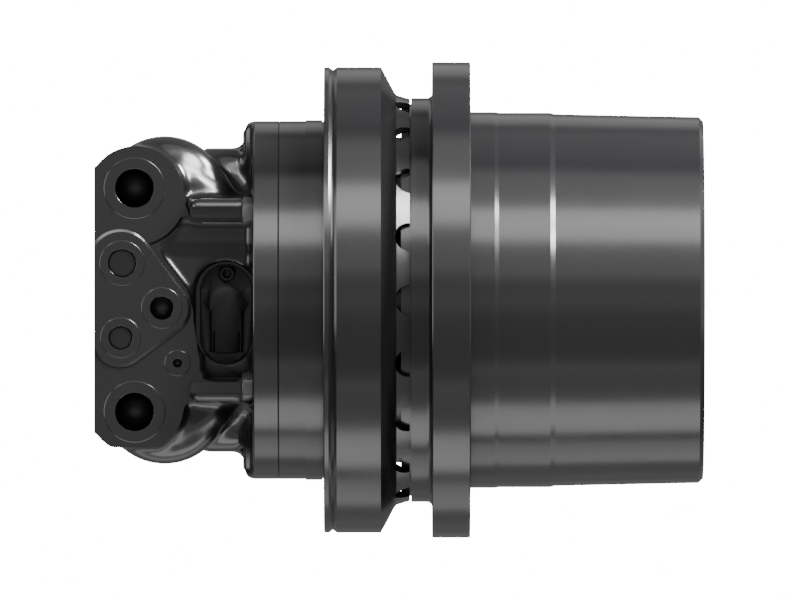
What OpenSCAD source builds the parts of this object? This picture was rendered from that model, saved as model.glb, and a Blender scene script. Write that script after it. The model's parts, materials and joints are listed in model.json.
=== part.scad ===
// Compact hydraulic track drive: an axial piston motor in a stationary hub, with a planetary
// gear drum turning round it. The X axis is the axis of rotation and points at the drum's
// closed end. The origin is on that axis, in the mounting face of the frame flange.
// The main ports face -Y and +Z is up.

/* [Hub and frame flange] */
// Step from the cover flange and the hub behind it up to the frame pilot
hub_step = 0.8; // [0.5:0.1:1.5]
// Length of the hub between the cover joint and the pilot
hub_back_len = 21.6; // [18:0.2:26]
// Diameter of the frame pilot
frame_pilot_d = 288; // [286:0.4:292]
// Length of the frame pilot
frame_pilot_len = 13; // [10:0.2:16]
// Undercut between the frame pilot and the flange face
pilot_relief = 1.4; // [1:0.1:2]
// Outside diameter of the frame flange
frame_flange_d = 372.4; // [366:0.4:378]
// Thickness of the frame flange
frame_flange_t = 45.6; // [42:0.4:50]
// Distance of the V groove from the flange face
v_groove_x = 7.2; // [6:0.2:12]
// Width of the V groove
v_groove_w = 6.4; // [4:0.2:8]
// Depth of the V groove
v_groove_depth = 2.4; // [1:0.2:3]
// Length of the cone between the flange and the lip
cone_len = 12.4; // [11:0.2:14]
// Diameter of the lip where the cone ends
lip_d = 328; // [326:0.4:332]
// How much the lip's radius falls off towards its free edge
lip_taper = 2.8; // [2:0.1:3.5]
// Length of the lip
lip_len = 10.6; // [9:0.2:12]
// Wall of the lip at its free edge
lip_wall = 3; // [2:0.1:3.5]
// Number of notches round the lip
notch_count = 20; // [12:4:24]
// Radius of one notch
notch_r = 12; // [9:0.5:13]
// Number of frame bolts
frame_bolt_count = 18; // [12:1:20]
// Pitch circle diameter of the frame bolts
frame_bolt_pcd = 330; // [328:1:334]
// Diameter of a frame bolt's tapped hole
frame_bolt_hole_d = 17.5; // [15:0.5:19]
// Depth of a frame bolt's hole
frame_bolt_depth = 34; // [28:1:38]

/* [Drum] */
// Gap between the hub's lip and the drum
lip_gap = 1.2; // [0.8:0.1:2]
// How far the drum's collar stands out past the lip's free edge
collar_step = 0.4; // [0:0.1:1]
// Length of the collar up to its fillet
collar_len = 12.6; // [11:0.2:16]
// Fillet between the collar and the sprocket flange
collar_fillet = 4; // [2:0.5:5]
// Gap between the lip and the spigot that runs inside it
spigot_gap = 1.4; // [1:0.1:2]
// How far the spigot reaches under the lip
spigot_len = 7; // [5:0.5:9]
// Wall of the spigot
spigot_wall = 10.8; // [9:0.2:13]
// Outside diameter of the sprocket flange
sprocket_flange_d = 380.4; // [376:0.4:386]
// Thickness of the sprocket flange
sprocket_flange_t = 30.6; // [28:0.2:34]
// Height of the sprocket's seat above the barrel
seat_step = 0.6; // [0.4:0.1:1]
// Length of the sprocket's seat
sprocket_pilot_len = 19.8; // [16:0.2:22]
// Height of the straight barrel above the start of its taper
barrel_step = 1; // [0.6:0.1:1.4]
// Length of the straight barrel
barrel_len = 42.2; // [38:0.2:48]
// Length of the small step behind the straight barrel
step_len = 4; // [3:0.5:5]
// How much the taper takes off the barrel's radius
barrel_taper = 2.4; // [2:0.1:3]
// Wall of the drum round the ring gear where the taper ends
drum_wall = 12.4; // [11:0.2:13]
// Length of the tapered barrel
taper_len = 116.6; // [112:0.2:122]
// Chamfer at the drum's end
end_chamfer = 3.6; // [2:0.2:4]
// Number of sprocket bolts
sprocket_bolt_count = 20; // [12:2:22]
// Place of the sprocket bolts, as a share of the way from the seat to the flange's rim
sprocket_bolt_share = 0.6181; // [0.6:0.0001:0.64]
// Diameter of a sprocket bolt's tapped hole
sprocket_bolt_hole_d = 14; // [12:0.5:17]

/* [Port cover] */
// Length of the port cover from the hub joint to its left face
cover_len = 147; // [145:0.5:152]
// Thickness of the cover's flange
cover_flange_t = 20.8; // [19:0.2:24]
// How far the bosses at the top and bottom screws stand out of the cover's flange
flange_boss_t = 6.8; // [5:0.2:8]
// Half width of the bosses at the top and bottom screws
flange_boss_w = 22; // [19:0.5:26]
// Distance from the axis to the plane of the upper ports
port_plane = 75; // [72:0.5:76]
// Step from the upper port plane down to the lower one
port_plane_step = 2; // [1:0.2:3]
// Distance of the main ports from the cover's left face
main_port_inset = 32.2; // [30:0.2:36]
// Distance of the main ports above and below the axis
main_port_z = 89.1; // [87:0.1:91]
// Radius of a main port's tapped hole
main_port_r = 15.5; // [13:0.25:17]
// Depth of a main port's tapped hole
main_port_depth = 34; // [30:1:38]
// Radius of a main port's spot face
main_spot_r = 24; // [22:0.5:26]
// Depth of the shallow spot faces
spot_depth = 0.8; // [0.4:0.2:1.2]
// Radius of the round pad about a main port
pad_r = 38.4; // [37:0.2:40]
// Distance of the pads above and below the axis
pad_z = 84.4; // [82:0.2:86]
// Radius of the ring that the elbow passages follow
horn_ring_r = 31; // [29:0.5:33]
// Radius of the elbow passages' section
horn_r = 20.2; // [18:0.2:22]
// Distance of the elbow rings above and below the axis
horn_z = 80; // [78:0.5:82]
// Distance of the elbow rings from the cover's left face
horn_inset = 55.8; // [52:0.2:60]
// Distance from the axis to the middle of the elbow passages
horn_plane = 31; // [29:0.5:33]
// Distance of the cover bolts' circle from the hub's outside
cover_bolt_edge = 19.2; // [18:0.2:21]
// Height of the front pair of cover screws above the axis
cover_bolt_z = 70; // [66:0.5:72]
// Radius of a cover screw's shank
cover_bolt_r = 7; // [6:0.5:8]
// Width across flats of a cover screw's head
cover_bolt_af = 21; // [19:1:22]
// Height of a cover screw's head
cover_bolt_head = 8.8; // [7.5:0.1:10]
// Radius of the upper mid port
upper_port_r = 10.6; // [9:0.1:12]
// Radius of the open mid port
middle_port_r = 9.3; // [8:0.1:10.5]
// Radius of the lower mid port
lower_port_r = 8.9; // [8:0.1:10]
// Depth of the mid ports
mid_port_depth = 22; // [18:1:26]
// Radius of the small pilot port
pilot_port_r = 3.4; // [2.5:0.1:4.3]
// Depth of the small pilot port
pilot_port_depth = 16; // [12:1:20]

/* [Speed sensor] */
// Half width of the oval sensor pocket
pocket_r = 24; // [23:0.2:25]
// Distance between the centres of the pocket's round ends
pocket_straight = 33.6; // [30:0.4:36]
// Distance of the pocket's middle from the hub joint
pocket_inset = 42; // [41:0.2:43]
// Distance of the pocket's middle below the axis
pocket_drop = 10.3; // [8:0.1:12]
// Distance from the axis to the pocket's floor
pocket_floor = 39; // [38:0.25:40]
// Half width of the sensor's oval base
sensor_r = 21.6; // [20:0.2:22.4]
// Thickness of the sensor's base
sensor_base_t = 9; // [7:0.5:11]
// Width of the sensor's plug shroud
shroud_w = 25.6; // [22:0.4:28]
// Length of the sensor's plug shroud
shroud_len = 52; // [46:0.5:54]
// Height of the sensor's plug shroud above its base
shroud_h = 14; // [10:0.5:16]
// Radius of the sensor's probe
probe_r = 9; // [7:0.5:11]

/* [Motor] */
// Radius of the cylinder block
block_r = 58; // [56:0.5:59]
// Length of the cylinder block
block_len = 66; // [62:0.5:70]
// Number of pistons
piston_count = 9; // [7:1:9]
// Radius of the circle that the pistons lie on
piston_circle_r = 40; // [39:0.5:41]
// Radius of a piston
piston_r = 10; // [9:0.25:10.5]
// Clearance between a sliding piece and its bore
slide_fit = 0.04; // [0.02:0.01:0.08]
// Thickness of the valve plate
valve_plate_t = 6; // [4:0.5:8]
// Radius of the motor shaft
shaft_r = 19; // [17:0.5:20]
// Thickness of the swash plate
swash_t = 20; // [18:0.5:22]
// Clearance between pieces that seat on each other with play
seat_gap = 0.3; // [0.2:0.05:0.4]

/* [Brake] */
// Radius of the bore that the brake piston runs in
brake_bore_r = 100; // [98:0.5:102]
// Thickness of one brake disc
brake_disc_t = 3; // [2.5:0.1:3.2]
// Number of friction discs
friction_disc_count = 3; // [2:1:4]
// Number of brake springs
brake_spring_count = 10; // [6:1:12]
// Wire radius of a brake spring
brake_wire_r = 1.6; // [1.2:0.1:1.8]

/* [Counterbalance valve] */
// Radius of the spool's bore
spool_bore_r = 12; // [11:0.5:13]
// Length of the spool
spool_len = 42; // [38:1:44]

/* [Main bearings and face seal] */
// Radius of the bearing seat in the drum
drum_seat_r = 125; // [124:0.5:127]
// Height of a main bearing between its two seats
bearing_section = 25; // [24:0.5:26]
// Width of one main bearing
main_bearing_w = 24; // [22:0.5:26]
// Distance between the two main bearings
main_bearing_gap = 14; // [12:0.5:16]
// Radius of a bearing ball
main_ball_r = 7.5; // [6.5:0.25:8]
// Number of balls in a main bearing
main_ball_count = 32; // [24:1:36]
// Room for the toric rings between the face seal's metal rings and their housing
toric_room = 7; // [6:0.25:8]
// Wall of the face seal's metal rings
seal_ring_wall = 13; // [11:0.5:13]

/* [Gear train] */
// Module of all gears
gear_module = 4; // [3.9:0.05:4.1]
// Pressure angle of all gears
pressure_angle = 25; // [22:1:26]
// Half of the play between two flanks
flank_play = 0.15; // [0.1:0.05:0.25]
// Teeth of the ring gear
ring_teeth = 60; // [60:12:60]
// Teeth of the second stage's sun and planets
second_teeth = 20; // [20:1:20]
// Teeth of the first stage's sun
first_sun_teeth = 12; // [12:1:12]
// Teeth of the first stage's planets
first_planet_teeth = 24; // [24:1:24]
// Number of planets in the second stage
second_planet_count = 4; // [4:1:4]
// Number of planets in the first stage
first_planet_count = 3; // [3:1:3]
// Face width of the second stage's planets
second_face_w = 40; // [36:0.5:44]
// Face width of the first stage's planets
first_face_w = 28; // [25:0.5:30]
// Wall of the ring gear outside the roots of its teeth
ring_wall = 9; // [8:0.25:10]
// Radius of the second stage's planet pins
second_pin_r = 20; // [18:0.5:21]
// Radius of the first stage's planet pins
first_pin_r = 15; // [13:0.5:16]
// Wall of the planet bushes
bush_wall = 4; // [3:0.5:5]
// Thickness of the second stage's carrier
second_carrier_t = 14; // [12:0.5:16]
// Thickness of the first stage's carrier
first_carrier_t = 12; // [10:0.5:14]
// Thickness of the end cover
end_cover_t = 12; // [10:0.5:14]
// Radius of the end cover's centre boss
end_boss_r = 14; // [10:0.5:16]

/* [Hidden] */

round_fn = 96;

// Diameters that follow from the frame pilot, the lip and the ring gear
hub_d = frame_pilot_d - 2 * hub_step;
cover_bolt_circle_r = hub_d / 2 - cover_bolt_edge;
lip_end_d = lip_d - 2 * lip_taper;
lip_bore_d = lip_end_d - 2 * lip_wall;
collar_d = lip_end_d + 2 * collar_step;
spigot_d = lip_bore_d - 2 * spigot_gap;
spigot_bore_d = spigot_d - 2 * spigot_wall;
ring_root_r = gear_module * (ring_teeth / 2 + 1.25);
ring_outer_r = ring_root_r + ring_wall;
taper_end_d = 2 * (ring_outer_r + drum_wall);
taper_start_d = taper_end_d + 2 * barrel_taper;
barrel_d = taper_start_d + 2 * barrel_step;
sprocket_pilot_d = barrel_d + 2 * seat_step;

// Stations along the axis
hub_joint_x = -(hub_back_len + frame_pilot_len + pilot_relief);
cover_left_x = hub_joint_x - cover_len;
cover_flange_x = hub_joint_x - cover_flange_t;
lip_x = frame_flange_t + cone_len;
lip_end_x = lip_x + lip_len;
collar_x = lip_end_x + lip_gap;
sprocket_x = collar_x + collar_len + collar_fillet;
sprocket_face_x = sprocket_x + sprocket_flange_t;
barrel_x = sprocket_face_x + sprocket_pilot_len;
step_x = barrel_x + barrel_len;
taper_x = step_x + step_len;
drum_end_x = taper_x + taper_len + end_chamfer;

// Main bearings and face seal
bearing_a_x = sprocket_x + 1.6;
bearing_b_x = bearing_a_x + main_bearing_w + main_bearing_gap;
bearing_end_x = bearing_b_x + main_bearing_w;
spindle_seat_r = drum_seat_r - bearing_section;
race_r = (spindle_seat_r + drum_seat_r) / 2;
seal_housing_r = drum_seat_r - 1;
seal_ring_r = seal_housing_r - toric_room;
sprocket_bolt_pcd = sprocket_pilot_d + sprocket_bolt_share * (sprocket_flange_d - sprocket_pilot_d);
nut_w = 10;
spindle_end_x = bearing_end_x + nut_w + 1;
seal_meet_x = (lip_x + sprocket_x) / 2 - 3.4;
hub_shoulder_x = lip_x - 8;

// Motor stations
block_x = hub_joint_x + valve_plate_t;
block_end_x = block_x + block_len;
slipper_x = block_end_x + 26;
slipper_w = 9;
swash_x = slipper_x + slipper_w + 0.3;
swash_end_x = swash_x + swash_t;
front_bearing_x = swash_end_x + 2;
shaft_bearing_w = 17;
shaft_bearing_r = 36;
shaft_seal_x = front_bearing_x + shaft_bearing_w + 1;
shaft_seal_w = 9;
shaft_seal_r = 31;
motor_bore_r = 72;
shaft_tail_r = 14;
rear_bearing_r = 30;

// Brake stations
disc_pitch = brake_disc_t + 0.3;
disc_count = 2 * friction_disc_count + 1;
disc_stack_end_x = block_end_x - 4;
disc_stack_x = disc_stack_end_x - disc_count * disc_pitch;
friction_outer_r = 83;
steel_inner_r = 66;
steel_outer_r = 90;
brake_piston_len = disc_stack_x - block_x - 20;
brake_piston_x = disc_stack_x - 0.3 - brake_piston_len;
brake_small_r = brake_bore_r - 6;

// Gear train stations
planet_end_play = 1.2;
second_x = spindle_end_x + second_carrier_t + planet_end_play;
second_end_x = second_x + second_face_w;
first_carrier_x = second_end_x + 13;
first_x = first_carrier_x + first_carrier_t + planet_end_play;
first_end_x = first_x + first_face_w;
second_centre_r = gear_module * second_teeth;
first_centre_r = gear_module * (first_sun_teeth + first_planet_teeth) / 2;
ring_x = second_x - 4;
ring_end_x = first_end_x + 6;
end_cover_x = ring_end_x + 0.6;
clip_x = end_cover_x + end_cover_t + 0.3;
clip_w = 4;
sun_shaft_r = 11;

// Heights and radii shared by the port cover and what is in it
main_port_x = cover_left_x + main_port_inset;
pad_x = cover_left_x + 33;
horn_x = cover_left_x + horn_inset;
lower_plane = port_plane - port_plane_step;
pad_root = port_plane - 38;
block_front = port_plane - 8;
neck_front = port_plane - 3;
neck_corner_r = 16;
sensor_plane = neck_front - 2.6;
sensor_plane_top = 36.6;
sensor_plane_slope = 7.4;
root_front = port_plane - 58;
block_back = 56;
neck_back = 70;
block_half_w = 98;
neck_half_w = 69;
root_half_w = 121.6;
lower_pad_flat_z = 117.6;
upper_spot_r = 17.6;
middle_spot_r = 16;
lower_spot_r = 15.8;
pilot_spot_r = 10;
bolt_pocket_r = 14.6;
bolt_rib_z = 73.4;
bolt_rib_r = 7.6;
bolt_rib_front = 98;
bolt_rib_x = cover_left_x + 84;
upper_port = [cover_left_x + 22.3, 29.4];
middle_port = [cover_left_x + 53.9, -6.4];
lower_port = [cover_left_x + 21.1, -30.1];
pilot_port = [cover_left_x + 66.5, -50.3];
upper_lobe_r = 26.4;
middle_lobe_r = 22.8;
lower_lobe_r = 22.8;
pocket_x = hub_joint_x - pocket_inset;
bolt_spot_depth = 0.8;
bolt_seat_x = cover_flange_x + bolt_spot_depth;
front_bolt_angle = asin(cover_bolt_z / cover_bolt_circle_r);
rear_bolt_angle = front_bolt_angle;
cover_bolt_angles = [90, -90, 180 - front_bolt_angle, 180 + front_bolt_angle,
                     rear_bolt_angle, -rear_bolt_angle];
shaft_cavity_x = pocket_x - 14;
spool_y = -22;
probe_gap = 1.6;
spool_bore_end_x = shaft_cavity_x - 7;
spool_plug_len = 14;
spool_mid_x = cover_left_x + spool_plug_len + (spool_bore_end_x - cover_left_x - spool_plug_len) / 2;
end_cover_r = ring_outer_r - 0.2;
speed_ring_x = pocket_x;
pocket_end_z = 62.4;
pocket_slot_w = 34.4;
pocket_slot_len = 30;
speed_ring_r = 26;
sensor_screw_r = 3.2;
cover_seal_r = 1.3;
cover_seal_ring_r = cover_bolt_circle_r - cover_bolt_r - 5;
sensor_screw_z = -pocket_drop + pocket_straight / 2 + 14.4;

// Shaft, block and brake details
shaft_splines = 12;
motor_shaft_end_x = shaft_seal_x + shaft_seal_w + 12;
socket_depth = 22;
spring_pocket = 18;
ball_x = slipper_x + 2;
ball_r = 7;
cup_r = 9.6;
brake_chamber_gap = 2.4;
brake_chamber_x = brake_piston_x + 9 + brake_chamber_gap;
brake_spring_r = 5;
brake_spring_circle_r = (block_r + 5 + brake_bore_r) / 2;
brake_pocket = 5;
brake_seal_places = [[brake_bore_r, brake_piston_x + 5], [brake_small_r, brake_chamber_x + 3]];

// Carrier, sun and end cover details
carrier_plate_r = second_centre_r + second_pin_r + 6;
carrier_screw_r = 6;
carrier_screw_circle_r = 62;
carrier_screw_turn = 22.5;
pin_tail = 6.4;
clip_groove = 3;
sun_hub_r = 34;
button_r = 8;
plug_r = 10;
plug_circle_r = 88;
plug_angles = [90, -30];

// Revolves an outline of [radius, station] points about the axis
module revolved(outline) {
  rotate([0, 90, 0]) rotate_extrude($fn = round_fn) polygon(outline);
}

// A ring or a disc between two stations
module ring(x0, x1, outer, inner = 0) {
  revolved([[inner, x0], [outer, x0], [outer, x1], [inner, x1]]);
}

// A ring with chamfered outer edges
module chamfered_ring(x0, x1, outer, inner, edge) {
  revolved([[inner, x0], [outer - edge, x0], [outer, x0 + edge],
            [outer, x1 - edge], [outer - edge, x1], [inner, x1]]);
}

// A straight rod along the axis direction, through a point of the Y Z plane
module rod(x0, x1, r, y = 0, z = 0) {
  translate([x0, y, z]) rotate([0, 90, 0]) cylinder(r = r, h = x1 - x0, $fn = round_fn);
}

// A round hole or post along Y, from the plane y0 to the plane y1
module post(x, z, r, y0, y1) {
  translate([x, y1, z]) rotate([90, 0, 0]) cylinder(r = r, h = y1 - y0, $fn = round_fn);
}

// Extrudes an outline of the X Z plane from the plane y0 to the plane y1
module facing(y0, y1) {
  translate([0, y1, 0]) rotate([90, 0, 0]) linear_extrude(y1 - y0) children();
}

// Copies round the axis, the first one at the +Y side
module around(count, first = 0) {
  for (i = [0 : count - 1]) rotate([first + i * 360 / count, 0, 0]) children();
}

// Points of an arc
function arc(cx, cy, r, a0, a1, steps) =
  [for (i = [0 : steps]) let (a = a0 + (a1 - a0) * i / steps) [cx + r * cos(a), cy + r * sin(a)]];

// A bar along X with rounded long edges
module rounded_bar(x0, x1, y0, y1, z0, z1, r) {
  translate([x0, 0, 0]) rotate([90, 0, 90]) linear_extrude(x1 - x0) {
    translate([y0 + r, z0]) square([y1 - y0 - 2 * r, z1 - z0]);
    translate([y0, z0 + r]) square([y1 - y0, z1 - z0 - 2 * r]);
    for (y = [y0 + r, y1 - r]) for (z = [z0 + r, z1 - r]) translate([y, z]) circle(r, $fn = round_fn);
  }
}

// An oval outline in the X Z plane, long side upright
module oval(x, z, r, straight) {
  translate([x, z]) {
    square([2 * r, straight], center = true);
    for (s = [-1, 1]) translate([0, s * straight / 2]) circle(r, $fn = round_fn);
  }
}

// Six-sided outline by its width across flats
module hexagon(af) {
  circle(r = af / sqrt(3), $fn = 6);
}

// Involute angle, in degrees, of the flank at a radius
function involute(a) = tan(a) * 180 / PI - a;
function flank_angle(base, r) = r <= base ? 0 : involute(acos(base / r));

// Half of the angle that a tooth fills at a radius, widened by an amount at the pitch circle
function half_tooth(teeth, r, widen) =
  let (pitch = gear_module * teeth / 2, base = pitch * cos(pressure_angle))
    90 / teeth + involute(pressure_angle) - flank_angle(base, r) + widen / pitch * 180 / PI;

// Outline of a toothed wheel, with tooth 0 centred on the angle first
function gear_outline(teeth, root, tip, widen, first = 0) =
  let (base = gear_module * teeth / 2 * cos(pressure_angle),
       low = max(root + 0.4, base + 0.05),
       radii = [root, low, (2 * low + tip) / 3, (low + 2 * tip) / 3, tip])
    [for (i = [0 : teeth - 1]) let (mid = first + i * 360 / teeth)
      for (k = [0 : 9]) let (side = k < 5 ? -1 : 1, r = radii[k < 5 ? k : 9 - k],
                             a = mid + side * half_tooth(teeth, max(r, low), widen))
        [r * cos(a), r * sin(a)]];

// Extrudes an outline along the axis; the outline's X is the row's Y and its Y the row's Z
module along_axis(x0, x1) {
  translate([x0, 0, 0]) rotate([90, 0, 90]) linear_extrude(x1 - x0) children();
}

// An outside gear whose first tooth or space lies at the angle 0
module gear(x0, x1, teeth, first) {
  pitch = gear_module * teeth / 2;
  along_axis(x0, x1)
    polygon(gear_outline(teeth, pitch - 1.25 * gear_module, pitch + 0.9 * gear_module,
                         -flank_play, first));
}

// A coil spring along X about a point of the Y Z plane
module coil_spring(x0, x1, coil_r, wire_r, turns, y = 0, z = 0) {
  steps = 8;
  sides = 5;
  rings = round(turns * steps);
  lead = (x1 - x0 - 2 * wire_r) / rings;
  points = [for (i = [0 : rings]) let (a = i * 360 / steps)
             for (k = [0 : sides - 1]) let (b = k * 360 / sides, r = coil_r + wire_r * cos(b))
               [x0 + wire_r + i * lead + wire_r * sin(b), y + r * cos(a), z + r * sin(a)]];
  walls = [for (i = [0 : rings - 1]) for (k = [0 : sides - 1])
             let (n = (k + 1) % sides, low = i * sides, high = low + sides)
               each [[low + k, low + n, high + n], [low + k, high + n, high + k]]];
  polyhedron(points, concat([[for (k = [sides - 1 : -1 : 0]) k]], walls,
                            [[for (k = [0 : sides - 1]) rings * sides + k]]), convexity = 10);
}

// Outline of the flat port face, to the left of the valley and of the sensor pocket
module triangle_outline() {
  intersection() {
    hull() {
      translate(upper_port) circle(upper_lobe_r, $fn = 32);
      translate(middle_port) circle(middle_lobe_r, $fn = 32);
      translate(lower_port) circle(lower_lobe_r, $fn = 32);
    }
    translate([cover_left_x, -cover_len]) square([cover_len, 2 * cover_len]);
  }
}

// Web between the upper pad and the triangle
module upper_web_outline() {
  translate([cover_left_x, 0])
    polygon([[0, 30], [0, 100], [33, 84], [70.8, 75.2], [74, 67.4], [64.2, 64.8], [56, 58],
             [44.2, 48.8], [36, 40]]);
}

// Flat lower face between the triangle, the sensor pocket and the lower pad
module lower_web_outline() {
  translate([cover_left_x, 0])
    polygon([[0, -100], [0, 20], [56, 20], [80, -8], [86, -14], [86, -62.4], [75, -62.8], [66, -70],
             [40, -90]]);
}

// Round pad of a main port, cut off at the cover's left face
module pad_outline(side) {
  intersection() {
    translate([pad_x, side * pad_z]) circle(pad_r, $fn = round_fn);
    translate([cover_left_x, -lower_pad_flat_z])
      square([2 * pad_r + 10, lower_pad_flat_z + pad_z + 2 * pad_r]);
  }
}

module port_cover() color([0.2, 0.2, 0.21]) {
  difference() {
    union() {
      cover_flange();
      cover_body();
      cover_faces();
      for (side = [-1, 1]) horn(side);
      bolt_ribs();
    }
    cover_bores();
  }
}

module cover_flange() {
  edge = flange_boss_t;
  r = hub_d / 2;
  boss_x = cover_flange_x - flange_boss_t;
  revolved([[0, cover_flange_x], [r - 0.8, cover_flange_x], [r, cover_flange_x + 0.8],
            [r, hub_joint_x - 0.6], [r - 0.6, hub_joint_x], [0, hub_joint_x]]);
  intersection() {
    revolved(concat([[r - 50, boss_x]], arc(r - edge, boss_x + edge, edge, -90, 0, 6),
                    [[r, cover_flange_x + 2], [r - 50, cover_flange_x + 2]]));
    translate([boss_x - 1, -flange_boss_w, -r]) cube([2 * edge + 4, 2 * flange_boss_w, 2 * r]);
  }
}

module cover_body() {
  rounded_bar(cover_left_x, cover_left_x + 44, -block_front, block_back, -block_half_w, block_half_w, 18);
  difference() {
    rounded_bar(cover_left_x + 30, cover_flange_x + 2, -neck_front, neck_back, -neck_half_w, neck_half_w,
                neck_corner_r);
    sensor_flat();
  }
  rounded_bar(cover_left_x + 86, cover_flange_x + 2, -root_front, neck_back, -root_half_w, root_half_w, 22);
}

// Flat about the sensor's pocket, with a slope up to the neck's front
module sensor_flat() {
  translate([pocket_x - 60, 0, 0]) rotate([90, 0, 90]) linear_extrude(90)
    polygon([[-port_plane, -20], [-sensor_plane, -20], [-sensor_plane, sensor_plane_top],
             [-neck_front - 0.01, sensor_plane_top + sensor_plane_slope],
             [-port_plane, sensor_plane_top + sensor_plane_slope]]);
}

module cover_faces() {
  facing(-port_plane, -pad_root) pad_outline(1);
  facing(-port_plane, -pad_root) upper_web_outline();
  facing(-port_plane, -pad_root) triangle_outline();
  facing(-lower_plane, -pad_root) pad_outline(-1);
  facing(-lower_plane, -pad_root) lower_web_outline();
}

// Elbow passage from a main port down to the flange
module horn(side) {
  translate([horn_x, -horn_plane, side * horn_z]) rotate([90, 0, 0])
    rotate_extrude($fn = round_fn) translate([horn_ring_r, 0]) circle(horn_r, $fn = 48);
  post(horn_x, side * horn_z, horn_ring_r + 8, -horn_plane - 4, 40);
  rod(horn_x, cover_flange_x + 2, horn_ring_r + 3, 38 - horn_plane, side * (horn_z - 4));
}

// Webs that carry the pockets of the front cover screws
module bolt_ribs() {
  for (side = [-1, 1]) {
    translate([0, 0, side * bolt_rib_z - bolt_rib_r]) linear_extrude(2 * bolt_rib_r)
      polygon([[bolt_rib_x, -root_front], [bolt_rib_x, -bolt_rib_front],
               [cover_flange_x + 2, -bolt_rib_front], [cover_flange_x + 2, -root_front]]);
    rod(bolt_rib_x, cover_flange_x + 2, bolt_rib_r, -bolt_rib_front, side * bolt_rib_z);
    post(bolt_rib_x, side * bolt_rib_z, bolt_rib_r, -bolt_rib_front, -root_front);
    translate([bolt_rib_x, -bolt_rib_front, side * bolt_rib_z]) sphere(bolt_rib_r, $fn = 48);
  }
}

module cover_bores() {
  for (side = [-1, 1]) {
    plane = side > 0 ? port_plane : lower_plane;
    post(main_port_x, side * main_port_z, main_spot_r, -plane - 1, -plane + spot_depth);
    post(main_port_x, side * main_port_z, main_port_r, -plane - 1, -plane + main_port_depth);
  }
  spot_bore(upper_port, upper_port_r, upper_spot_r, port_plane, mid_port_depth);
  spot_bore(middle_port, middle_port_r, middle_spot_r, port_plane, mid_port_depth);
  spot_bore(lower_port, lower_port_r, lower_spot_r, port_plane, mid_port_depth);
  spot_bore(pilot_port, pilot_port_r, pilot_spot_r, lower_plane, pilot_port_depth);
  for (a = cover_bolt_angles) rotate([a, 0, 0]) {
    rod(bolt_seat_x - cover_bolt_head - 0.6, bolt_seat_x, bolt_pocket_r, cover_bolt_circle_r);
    rod(bolt_seat_x - 1, hub_joint_x + 1, cover_bolt_r + 0.4, cover_bolt_circle_r);
  }
  facing(-hub_d, -pocket_floor) oval(pocket_x, -pocket_drop, pocket_r, pocket_straight);
  facing(-hub_d, -pocket_floor) translate([pocket_x + 0.2 - pocket_slot_w / 2, -pocket_end_z])
    square([pocket_slot_w, pocket_slot_len]);
  post(pocket_x, -pocket_drop, probe_r + 0.15, -pocket_floor - 1, -speed_ring_r);
  rod(cover_left_x - 1, spool_bore_end_x, spool_bore_r, spool_y);
  rod(cover_left_x - 1, cover_left_x + spool_plug_len, spool_bore_r + 3, spool_y);
  rod(hub_joint_x - 22, hub_joint_x + 1, rear_bearing_r);
  rod(shaft_cavity_x, hub_joint_x - 20, shaft_tail_r + 19);
  ring(hub_joint_x - 2 * cover_seal_r - 0.1, hub_joint_x + 1, cover_seal_ring_r + cover_seal_r + 0.6,
       cover_seal_ring_r - cover_seal_r - 0.6);
  post(pocket_x + 0.6, sensor_screw_z, sensor_screw_r, -pocket_floor - 1, -pocket_floor + 10.5);
}

// A tapped port with its shallow spot face
module spot_bore(place, r, spot, plane, depth) {
  post(place.x, place.y, spot, -plane - 1, -plane + spot_depth / 2);
  post(place.x, place.y, r, -plane - 1, -plane + depth);
}

module cover_bolts() color([0.22, 0.22, 0.23]) {
  for (a = cover_bolt_angles) rotate([a, 0, 0]) translate([0, cover_bolt_circle_r, 0]) {
    along_axis(bolt_seat_x - cover_bolt_head, bolt_seat_x) hexagon(cover_bolt_af);
    rod(bolt_seat_x - 1, hub_joint_x + 16, cover_bolt_r - 0.3);
  }
}

module cover_seal() color([0.06, 0.06, 0.06]) {
  rotate([0, 90, 0]) rotate_extrude($fn = round_fn)
    translate([cover_seal_ring_r, hub_joint_x - cover_seal_r]) circle(cover_seal_r, $fn = 24);
}

// A smooth-faced screw plug, set just below its spot face
module port_plug(place, r) {
  post(place.x, place.y, r - 0.3, -port_plane + 1.6, -port_plane + mid_port_depth - 6);
  post(place.x, place.y, r - 1.3, -port_plane + 1, -port_plane + 2);
}

module upper_port_plug() color([0.15, 0.15, 0.15]) port_plug(upper_port, upper_port_r);

module lower_port_plug() color([0.15, 0.15, 0.15]) port_plug(lower_port, lower_port_r);

module speed_sensor() color([0.09, 0.09, 0.1]) {
  face = -pocket_floor - sensor_base_t;
  shroud_z = -pocket_drop + pocket_straight / 2 - 11.4 - shroud_len / 2;
  difference() {
    union() {
      facing(face, -pocket_floor - 0.1)
        oval(pocket_x + 0.8, -pocket_drop - 1.6, sensor_r, pocket_straight + 1);
      facing(face - shroud_h, face + 1) {
        translate([pocket_x + 0.4 - shroud_w / 2, shroud_z - shroud_len / 2])
          square([shroud_w, shroud_len - shroud_w / 2]);
        translate([pocket_x + 0.4, shroud_z + shroud_len / 2 - shroud_w / 2])
          circle(shroud_w / 2, $fn = round_fn);
      }
      for (side = [-1, 1]) facing(face - shroud_h / 3, face + 1)
        translate([pocket_x + 0.4 + side * 16.6 - 2.6, shroud_z - shroud_len / 2 + 17])
          square([5.2, shroud_len - 21]);
      post(pocket_x, -pocket_drop, probe_r, -pocket_floor - 1, -speed_ring_r - probe_gap);
    }
    post(pocket_x + 0.6, sensor_screw_z, sensor_screw_r + 0.2, -port_plane, -pocket_floor + 1);
  }
}

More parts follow.
